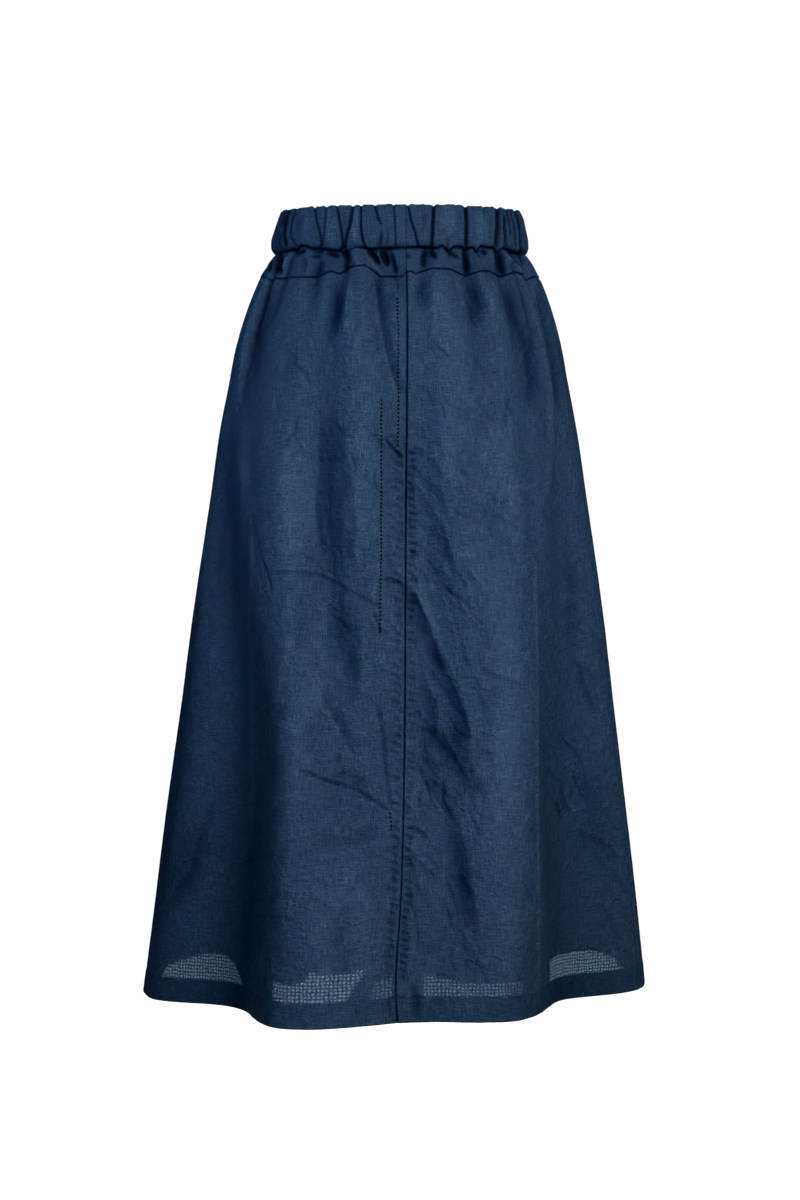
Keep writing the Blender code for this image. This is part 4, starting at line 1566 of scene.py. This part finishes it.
@dataclass(frozen=True)
class Stitching:
    """Rows of single stitches that lie half sunk in the cloth."""

    view: FrontView
    pitch: float = 0.0037
    length: float = 0.0022
    radius: float = 0.0010
    proud: float = 0.0003

    def follow(self, points: np.ndarray) -> tuple[np.ndarray, np.ndarray]:
        """Space stitches along a line of points.

        Args:
            points: The line, in order.

        Returns:
            Middle and direction of each stitch.
        """
        steps = np.linalg.norm(np.diff(points, axis=0), axis=1)
        run = np.concatenate([[0.0], np.cumsum(steps)])
        at = np.arange(self.pitch / 2, run[-1], self.pitch)
        place = [np.stack([np.interp(at + shift, run, points[:, k]) for k in range(3)], -1)
                 for shift in (-self.pitch / 4, 0.0, self.pitch / 4)]
        way = place[2] - place[0]
        return place[1], way / np.linalg.norm(way, axis=1, keepdims=True)

    def on_cloth(self, face: np.ndarray, line: tuple[tuple[float, float], ...]) -> np.ndarray:
        """Lay a line that is given in the front view onto a panel.

        Args:
            face: The panel's outer face, columns by rows.
            line: The line's points in front view steps.

        Returns:
            Points on the cloth.
        """
        across, down = self.view.seen(face)
        found = []
        marks = np.asarray(line, float)
        lengths = np.concatenate([[0.0], np.cumsum(np.hypot(*np.diff(marks, axis=0).T))])
        for at in np.arange(0.0, lengths[-1], 1.5):
            x = np.interp(at, lengths, marks[:, 0])
            y = np.interp(at, lengths, marks[:, 1])
            away = (across - x) ** 2 + (down - y) ** 2
            i, j = np.unravel_index(np.argmin(away), away.shape)
            i = int(np.clip(i, 1, face.shape[0] - 2))
            j = int(np.clip(j, 1, face.shape[1] - 2))
            block = slice(i - 1, i + 2), slice(j - 1, j + 2)
            weight = 1.0 / (away[block] + 0.05)
            found.append((face[block] * weight[..., None]).sum((0, 1)) / weight.sum())
        return np.array(found)

    def build(
        self, name: str, lines: list[np.ndarray], material: bpy.types.Material
    ) -> bpy.types.Object:
        """Sew the rows as one piece.

        Args:
            name: The piece's name.
            lines: Lines of points on the cloth.
            material: The thread.

        Returns:
            The piece, linked to the scene.
        """
        rings = ((-0.5, 0.25), (-0.36, 0.85), (0.0, 1.0), (0.36, 0.85), (0.5, 0.25))
        sides = 6
        spots, ways = (np.concatenate(part) for part in zip(*[self.follow(line) for line in lines]))
        radial = spots * np.array([1.0, 1.0, 0.0])
        radial /= np.linalg.norm(radial, axis=1, keepdims=True)
        out = radial - ways * np.sum(radial * ways, axis=1, keepdims=True)
        out /= np.linalg.norm(out, axis=1, keepdims=True)
        beside = np.cross(ways, out)
        points = []
        for share, swell in rings:
            for k in range(sides):
                turn = 2 * math.pi * k / sides
                offset = self.radius * swell * (math.cos(turn) * out + math.sin(turn) * beside)
                points.append(spots + ways * share * self.length + self.proud * out + offset)
        points = np.stack(points, 1)
        faces = []
        for ring in range(len(rings) - 1):
            for k in range(sides):
                after = (k + 1) % sides
                faces.append((ring * sides + k, (ring + 1) * sides + k,
                              (ring + 1) * sides + after, ring * sides + after))
        faces = np.array(faces)
        first = np.arange(sides)
        caps = np.array([first, len(rings) * sides - 1 - first])
        base = (np.arange(len(spots)) * len(rings) * sides)[:, None, None]
        quads = (faces[None] + base).reshape(-1, 4)
        ends = (caps[None] + base).reshape(-1, sides)
        piece = put_mesh(name, points.reshape(-1, 3).tolist(), [*quads.tolist(), *ends.tolist()], material)
        piece.data.shade_smooth()
        piece.data.update()
        return piece


def linear(colour: str) -> tuple[float, float, float, float]:
    """Turn an sRGB hex colour into linear red, green, blue and full alpha."""
    parts = [int(colour[i:i + 2], 16) / 255 for i in (1, 3, 5)]
    return (*(p / 12.92 if p <= 0.04045 else ((p + 0.055) / 1.055) ** 2.4 for p in parts), 1.0)


def add_node(
    tree: bpy.types.NodeTree, kind: str, inputs: dict[Any, Any] | None = None, **settings: Any
) -> Any:
    """Add a node with its settings and links.

    Args:
        tree: The nodes of a material or of the room.
        kind: The node's type, without the words that every shader node's type starts with.
        inputs: Values or sockets by the input's name or number.
        settings: The node's own settings.

    Returns:
        The node's outputs.
    """
    node = tree.nodes.new("ShaderNode" + kind)
    for name, value in settings.items():
        setattr(node, name, value)
    for key, value in (inputs or {}).items():
        if isinstance(value, bpy.types.NodeSocket):
            tree.links.new(value, node.inputs[key])
        else:
            node.inputs[key].default_value = value
    return node.outputs


def empty_nodes(owner: bpy.types.Material | bpy.types.World) -> Callable[..., Any]:
    """Clear the nodes of a material or world, and give the function that adds to them."""
    owner.use_nodes = True
    owner.node_tree.nodes.clear()
    return partial(add_node, owner.node_tree)


@dataclass(frozen=True)
class WovenLinen:
    """Plain-woven flax, piece-dyed navy: matt and dry, with uneven threads that catch the light."""

    name: str
    shadow_thread: str = "#102a42"
    body_thread: str = "#2a4869"
    raised_thread: str = "#567693"
    thread_pitch: float = 0.0016
    slub_width: float = 0.0010
    slub_length: float = 0.013
    fold_memory: float = 0.011
    grain: float = 0.0015
    crumple: float = 0.0044
    memory: float = 1.0
    roughness: float = 0.50
    specular: float = 0.05
    # Painted shade and highlight: colour gains for shaded troughs and lit crests.
    trough_painted_shade: tuple[float, float, float] = (0.03, 0.25, 0.38)
    crest_painted_highlight: tuple[float, float, float] = (1.86, 1.37, 1.19)
    thick_share: float = 0.6
    memory_share: float = 0.19
    raised_share: float = 0.45
    slub_share: float = 1.15
    grain_share: float = 1.5
    thread_relief: float = 0.10
    memory_relief: float = 1.4
    relief_height: float = 0.0007
    relief_strength: float = 0.55
    sheer: bool = False
    hole_pitch: float = 0.0030
    hole_sway: float = 0.0035
    least_open: float = 0.020
    most_open: float = 0.106

    def streak(self, add: Callable[..., Any], run: Any, wide: float, long: float) -> Any:
        """Uneven threads that run one way: noise stretched to the slub's width and length."""
        place = add("Mapping", {"Vector": run, "Scale": (1 / wide, 1 / long, 1.0)})
        noise = add("TexNoise", {
            "Vector": place["Vector"], "Scale": 1.0, "Detail": 2.0, "Roughness": 0.6,
        })
        return noise["Fac"]

    def wave(self, add: Callable[..., Any], value: Any, pitch: float) -> Any:
        """A sine of one turn in each pitch."""
        turn = add("Math", {0: value, 1: 2 * math.pi / pitch}, operation="MULTIPLY")
        return add("Math", {0: turn[0]}, operation="SINE")[0]

    def material(self) -> bpy.types.Material:
        """Make the cloth's material."""
        material = bpy.data.materials.new(self.name)
        add = empty_nodes(material)
        run = add("Attribute", attribute_name="cloth_run")["Vector"]
        parts = add("SeparateXYZ", {0: run})
        along, down = parts["X"], parts["Y"]

        warp = self.streak(add, run, self.slub_width, self.slub_length)
        weft = self.streak(add, run, self.slub_length, self.slub_width)
        slubs = add("Math", {0: warp, 1: weft}, operation="ADD")[0]
        thick = add("Math", {0: warp, 1: weft}, operation="MAXIMUM")[0]
        thick = add("MapRange", {"Value": thick, "From Min": 0.64, "From Max": 0.76})[0]
        # Real linen has 13 threads to the centimetre. They are drawn twice as coarse, so that they show.
        over = add("Math", {
            0: self.wave(add, along, self.thread_pitch), 1: self.wave(add, down, self.thread_pitch),
        }, operation="MULTIPLY")[0]
        grain = add("TexNoise", {
            "Vector": run, "Scale": 1 / self.grain, "Detail": 3.0, "Roughness": 0.7,
        })["Fac"]

        # Folds that were pressed out leave fine pale lines where they ran.
        bent = add("Mapping", {
            "Vector": run, "Scale": (0.7 / self.fold_memory, 1.2 / self.fold_memory, 1.0),
        })["Vector"]
        wander = add("TexNoise", {"Vector": bent, "Scale": 1.1, "Detail": 2.0})["Color"]
        bent = add("VectorMath", {
            0: wander, 1: (0.6, 0.6, 0.0), 2: bent,
        }, operation="MULTIPLY_ADD")[0]
        line = add("TexVoronoi", {"Vector": bent, "Scale": 1.0}, feature="DISTANCE_TO_EDGE")
        memory = add("MapRange", {
            "Value": line["Distance"], "From Min": 0.0, "From Max": 0.08, "To Min": 1.0, "To Max": 0.0,
        }, interpolation_type="SMOOTHSTEP")[0]
        patch = add("TexNoise", {"Vector": run, "Scale": 42.0, "Detail": 2.0})["Fac"]
        kept = add("MapRange", {"Value": patch, "From Min": 0.40, "From Max": 0.58})[0]
        memory = add("Math", {0: memory, 1: kept}, operation="MULTIPLY")[0]
        memory = add("Math", {0: memory, 1: self.memory}, operation="MULTIPLY")[0]
        thick = add("Math", {0: thick, 1: self.thick_share}, operation="MULTIPLY")[0]
        lines = add("Math", {0: memory, 1: self.memory_share, 2: thick}, operation="MULTIPLY_ADD")[0]

        mixed = add("Math", {0: slubs, 1: self.slub_share}, operation="MULTIPLY")[0]
        mixed = add("Math", {0: grain, 1: self.grain_share, 2: mixed}, operation="MULTIPLY_ADD")[0]
        tone = add("MapRange", {"Value": mixed, "From Min": 1.55, "From Max": 2.25})[0]
        base = add("Mix", {
            0: tone, 6: linear(self.shadow_thread), 7: linear(self.body_thread),
        }, data_type="RGBA")[2]
        lifted = add("Math", {0: lines, 1: self.raised_share}, operation="MULTIPLY")[0]
        colour = add("Mix", {
            0: lifted, 6: base, 7: linear(self.raised_thread),
        }, data_type="RGBA")[2]

        rise = add("Attribute", attribute_name="rise")["Fac"]
        painted_light = add("MapRange", {"Value": rise, "From Min": -1.6, "From Max": 1.0})[0]
        # Painted highlight and shade: crests are painted paler and greyer, as if lit, and troughs a darker,
        # deeper blue, as if in shade.
        tint = add("Mix", {
            0: painted_light, 6: (*self.trough_painted_shade, 1.0), 7: (*self.crest_painted_highlight, 1.0),
        }, data_type="RGBA")[2]
        colour = add("VectorMath", {0: colour, 1: tint}, operation="MULTIPLY")[0]
        # Painted shadow: the deepest creases, the seams and the groove are darkened almost to black.
        deep = add("MapRange", {
            "Value": rise, "From Min": -2.6, "From Max": -1.4, "To Min": 0.12, "To Max": 1.0,
        })[0]
        colour = add("VectorMath", {0: colour, "Scale": deep}, operation="SCALE")[0]

        creased = add("TexNoise", {
            "Vector": run, "Scale": 1 / self.fold_memory, "Detail": 3.0, "Roughness": 0.62, "Distortion": 0.4,
        })["Fac"]
        creased = add("Math", {0: creased, 1: 0.5}, operation="SUBTRACT")[0]
        creased = add("Math", {0: creased}, operation="ABSOLUTE")[0]
        crumple = add("Bump", {"Strength": 1.0, "Distance": self.crumple, "Height": creased})
        threads = add("Math", {0: over, 1: self.thread_relief, 2: mixed}, operation="MULTIPLY_ADD")[0]
        height = add("Math", {0: memory, 1: self.memory_relief, 2: threads}, operation="MULTIPLY_ADD")[0]
        bump = add("Bump", {
            "Strength": self.relief_strength, "Distance": self.relief_height, "Height": height,
            "Normal": crumple["Normal"],
        })
        shader = add("BsdfPrincipled", {
            "Base Color": colour, "Roughness": self.roughness, "Specular IOR Level": self.specular,
            "Normal": bump["Normal"], "IOR": 1.46,
        })
        surface = shader[0]
        if self.sheer:
            surface = self.let_light_through(add, along, down, surface)
        add("OutputMaterial", {"Surface": surface})
        return material

    def let_light_through(self, add: Callable[..., Any], along: Any, down: Any, surface: Any) -> Any:
        """Open the gaps between the threads where one layer hangs alone.

        Args:
            add: Adds a node to the material.
            along: Metres along the cloth.
            down: Metres down the cloth.
            surface: The cloth's shader.

        Returns:
            The shader with its gaps.
        """
        sheer = add("Attribute", attribute_name="sheer")["Fac"]
        run = add("Attribute", attribute_name="cloth_run")["Vector"]
        wobble = add("TexNoise", {"Vector": run, "Scale": 520.0, "Detail": 1.0})["Fac"]
        # Gaps between real threads are 0.8 mm apart. They are drawn at 3 mm, as coarse as a view resolves.
        sway = add("TexNoise", {"Vector": run, "Scale": 150.0})["Fac"]
        bent = [add("Math", {0: sway, 1: self.hole_sway, 2: way}, operation="MULTIPLY_ADD")[0]
                for way in (along, down)]
        grid = add("Math", {
            0: self.wave(add, bent[0], self.hole_pitch), 1: self.wave(add, bent[1], self.hole_pitch),
        }, operation="MINIMUM")[0]
        open_share = add("MapRange", {
            "Value": grid, "From Min": -0.8, "From Max": 0.75,
            "To Min": self.least_open, "To Max": self.most_open,
        })[0]
        uneven = add("MapRange", {
            "Value": wobble, "From Min": 0.35, "From Max": 0.65, "To Min": 0.5, "To Max": 1.3,
        })[0]
        share = add("Math", {0: open_share, 1: uneven}, operation="MULTIPLY")[0]
        share = add("Math", {0: share, 1: sheer}, operation="MULTIPLY")[0]
        clear = add("BsdfTransparent", {"Color": linear("#d9efff")})
        return add("MixShader", {0: share, 1: surface, 2: clear[0]})[0]


@dataclass(frozen=True)
class SewingThread:
    """Spun polyester thread, twisted, with a faint gloss."""

    name: str
    colour: str
    roughness: float = 0.6
    specular: float = 0.04

    def material(self) -> bpy.types.Material:
        """Make the thread's material."""
        material = bpy.data.materials.new(self.name)
        add = empty_nodes(material)
        place = add("TexCoord")
        twist = add("TexNoise", {"Vector": place["Object"], "Scale": 2400.0})
        bump = add("Bump", {
            "Strength": 0.4, "Distance": 0.0001, "Height": twist["Fac"],
        })
        shader = add("BsdfPrincipled", {
            "Base Color": linear(self.colour), "Roughness": self.roughness,
            "Specular IOR Level": self.specular, "Normal": bump["Normal"],
        })
        add("OutputMaterial", {"Surface": shader[0]})
        return material


@dataclass(frozen=True)
class Studio:
    """A pale floor and soft studio light.

    The key box stands to the front right and the front box fills. Two cool boxes at the left tint the side
    that the key box leaves in shade, the upper one for the flank under the waist. The back box is for views
    from behind and doesn't reach the front, and the wash lights the floor.
    """

    floor_height: float = -1.05
    floor_radius: float = 6.0
    floor_colour: str = "#c4c4c4"
    room_seen: float = 1.05
    room_light: float = 0.016

    def light(self, name: str, place: tuple[float, float, float], size: tuple[float, float], power: float,
              aim: float = -0.36, spread: float = 180.0, colour: str = "#ffffff") -> None:
        """Add a soft box that faces the skirt.

        Args:
            name: The light's name.
            place: Where it stands.
            size: Its width and height.
            power: Its power in watts.
            aim: Height on the skirt's axis that it faces.
            spread: Degrees that its light spreads over.
            colour: The colour of its light.
        """
        data = bpy.data.lights.new(name, "AREA")
        data.shape = "RECTANGLE"
        data.size, data.size_y = size
        data.energy = power
        data.color = linear(colour)[:3]
        data.spread = math.radians(spread)
        point_at(put(name, data), place, (0.0, 0.0, aim))

    def surroundings(self) -> None:
        """Make the white room: bright to look at, softer as a source of light."""
        world = bpy.data.worlds.new("white_studio")
        add = empty_nodes(world)
        path = add("LightPath")
        seen = add("Background", {"Color": (1, 1, 1, 1), "Strength": self.room_seen})
        lit = add("Background", {"Color": (1, 1, 1, 1), "Strength": self.room_light})
        both = add("MixShader", {
            0: path["Is Camera Ray"], 1: lit[0], 2: seen[0],
        })
        add("OutputWorld", {"Surface": both[0]})
        bpy.context.scene.world = world

    def floor(self) -> bpy.types.Object:
        """Lay the floor, a round of pale studio paper that looks as white as the room behind it."""
        count = 64
        points = [
            (self.floor_radius * math.cos(2 * math.pi * i / count),
             self.floor_radius * math.sin(2 * math.pi * i / count), self.floor_height)
            for i in range(count)
        ]
        material = bpy.data.materials.new("paper_white_coated")
        add = empty_nodes(material)
        path = add("LightPath")
        shader = add("BsdfPrincipled", {
            "Base Color": linear(self.floor_colour), "Roughness": 0.9,
            "Emission Color": (1, 1, 1, 1), "Emission Strength": path["Is Camera Ray"],
        })
        add("OutputMaterial", {"Surface": shader[0]})
        return put_mesh("studio_floor", points, [tuple(range(count))], material)

    def build(self) -> None:
        """Set the room, the floor and the lights."""
        scene = bpy.context.scene
        scene.view_settings.view_transform = "Standard"
        self.surroundings()
        self.floor()
        self.light("key_box", (0.85, -1.90, 0.42), (0.7, 0.7), 5.3, aim=-0.25, spread=54.0)
        self.light("front_box", (0.0, -3.8, 0.1), (2.4, 2.0), 2.6)
        self.light("left_box", (-2.2, -1.6, 0.1), (1.6, 1.4), 11.5, aim=-0.25, colour="#50c2ff")
        self.light("left_top_box", (-2.2, -0.7, 0.35), (0.4, 0.4), 0.45, aim=-0.04, spread=24.0,
                   colour="#c0e0ff")
        self.light("back_box", (0.0, 2.8, 0.2), (0.9, 1.6), 9.0, spread=60.0)
        self.light("floor_wash", (0.0, 2.6, 2.2), (3.0, 1.5), 4.0)


class Cut(NamedTuple):
    """One piece's cloth before it was gathered: width and length, and its flat area where it flares."""

    width: float
    length: float
    area: float | None = None


# The cuts of the casing, the strip and the panel at each place.
CUTS = {
    Place.FRONT_LEFT: (Cut(0.215, 0.041), Cut(0.215, 0.025), Cut(0.420, 0.700, 0.250)),
    Place.FRONT_RIGHT: (Cut(0.200, 0.041), Cut(0.200, 0.025), Cut(0.405, 0.700, 0.241)),
    Place.BACK: (Cut(0.495, 0.041), Cut(0.495, 0.025), Cut(0.730, 0.705, 0.437)),
}

# The placket's topstitching: its two rows down from the waist and the end of a third.
CENTRE_ROWS = (
    ((397.3, 297), (398.6, 340), (398.3, 400), (398.0, 447)),
    ((381.5, 398), (381.5, 480), (381.0, 576), (380.3, 632)),
    ((390.5, 812), (391.5, 830)),
)


@dataclass(frozen=True)
class GatheredSkirt:
    """The whole skirt: casing, strip and panels, each in three cuts, and the stitching on them."""

    form: SkirtForm
    view: FrontView

    def dress(self, piece: bpy.types.Object, node: str) -> None:
        """Let a piece stand for its CAD node.

        Args:
            piece: The dressed piece.
            node: The CAD node that it replaces.
        """
        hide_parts(node)
        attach(piece, "root")
        LOG.info("%s: %d faces", piece.name, len(piece.data.polygons))

    def build(self) -> None:
        """Make every piece, from the waist down."""
        relief = Relief(self.form, self.view)
        casing_linen = WovenLinen("linen_casing_woven_gathered", crumple=0.0012, memory=0.15).material()
        strip_linen = WovenLinen("linen_strip_woven", crumple=0.0022, memory=0.5).material()
        panel_linen = WovenLinen("linen_panel_woven_open", sheer=True).material()
        topstitching = Stitching(self.view)
        top_thread = SewingThread("polyester_thread_spun_dark", "#01050b").material()
        hemming = Stitching(self.view, radius=0.0004, proud=0.0001)
        hem_thread = SewingThread("polyester_thread_spun_matched", "#17304b").material()
        for cut, (casing_cut, strip_cut, panel_cut) in CUTS.items():
            casing = Casing(self.form, relief, cut).build(casing_linen)
            self.dress(casing, f"casing_{cut.value}")
            strip = WaistStrip(self.form, relief, cut).build(strip_linen)
            self.dress(strip, f"waist_strip_{cut.value}")
            panel, face, turn_row = Panel(self.form, relief, cut).build(panel_linen)
            self.dress(panel, f"panel_{cut.value}")
            sewn = [hemming.build(f"hem_stitches_{cut.value}", [face[:, turn_row]], hem_thread)]
            if cut is Place.FRONT_LEFT:
                rows = [topstitching.on_cloth(face, line) for line in CENTRE_ROWS]
                sewn.append(topstitching.build("placket_stitches", rows, top_thread))
            for row in sewn:
                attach(row, "root")
                LOG.info("%s: %d faces", row.name, len(row.data.polygons))


def main() -> None:
    """Build the camera, the studio and the skirt."""
    logging.basicConfig(level=logging.INFO, format="%(message)s")
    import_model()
    view = FrontView()
    view.build()
    Studio().build()
    GatheredSkirt(SkirtForm(), view).build()


if __name__ == "__main__":
    main()
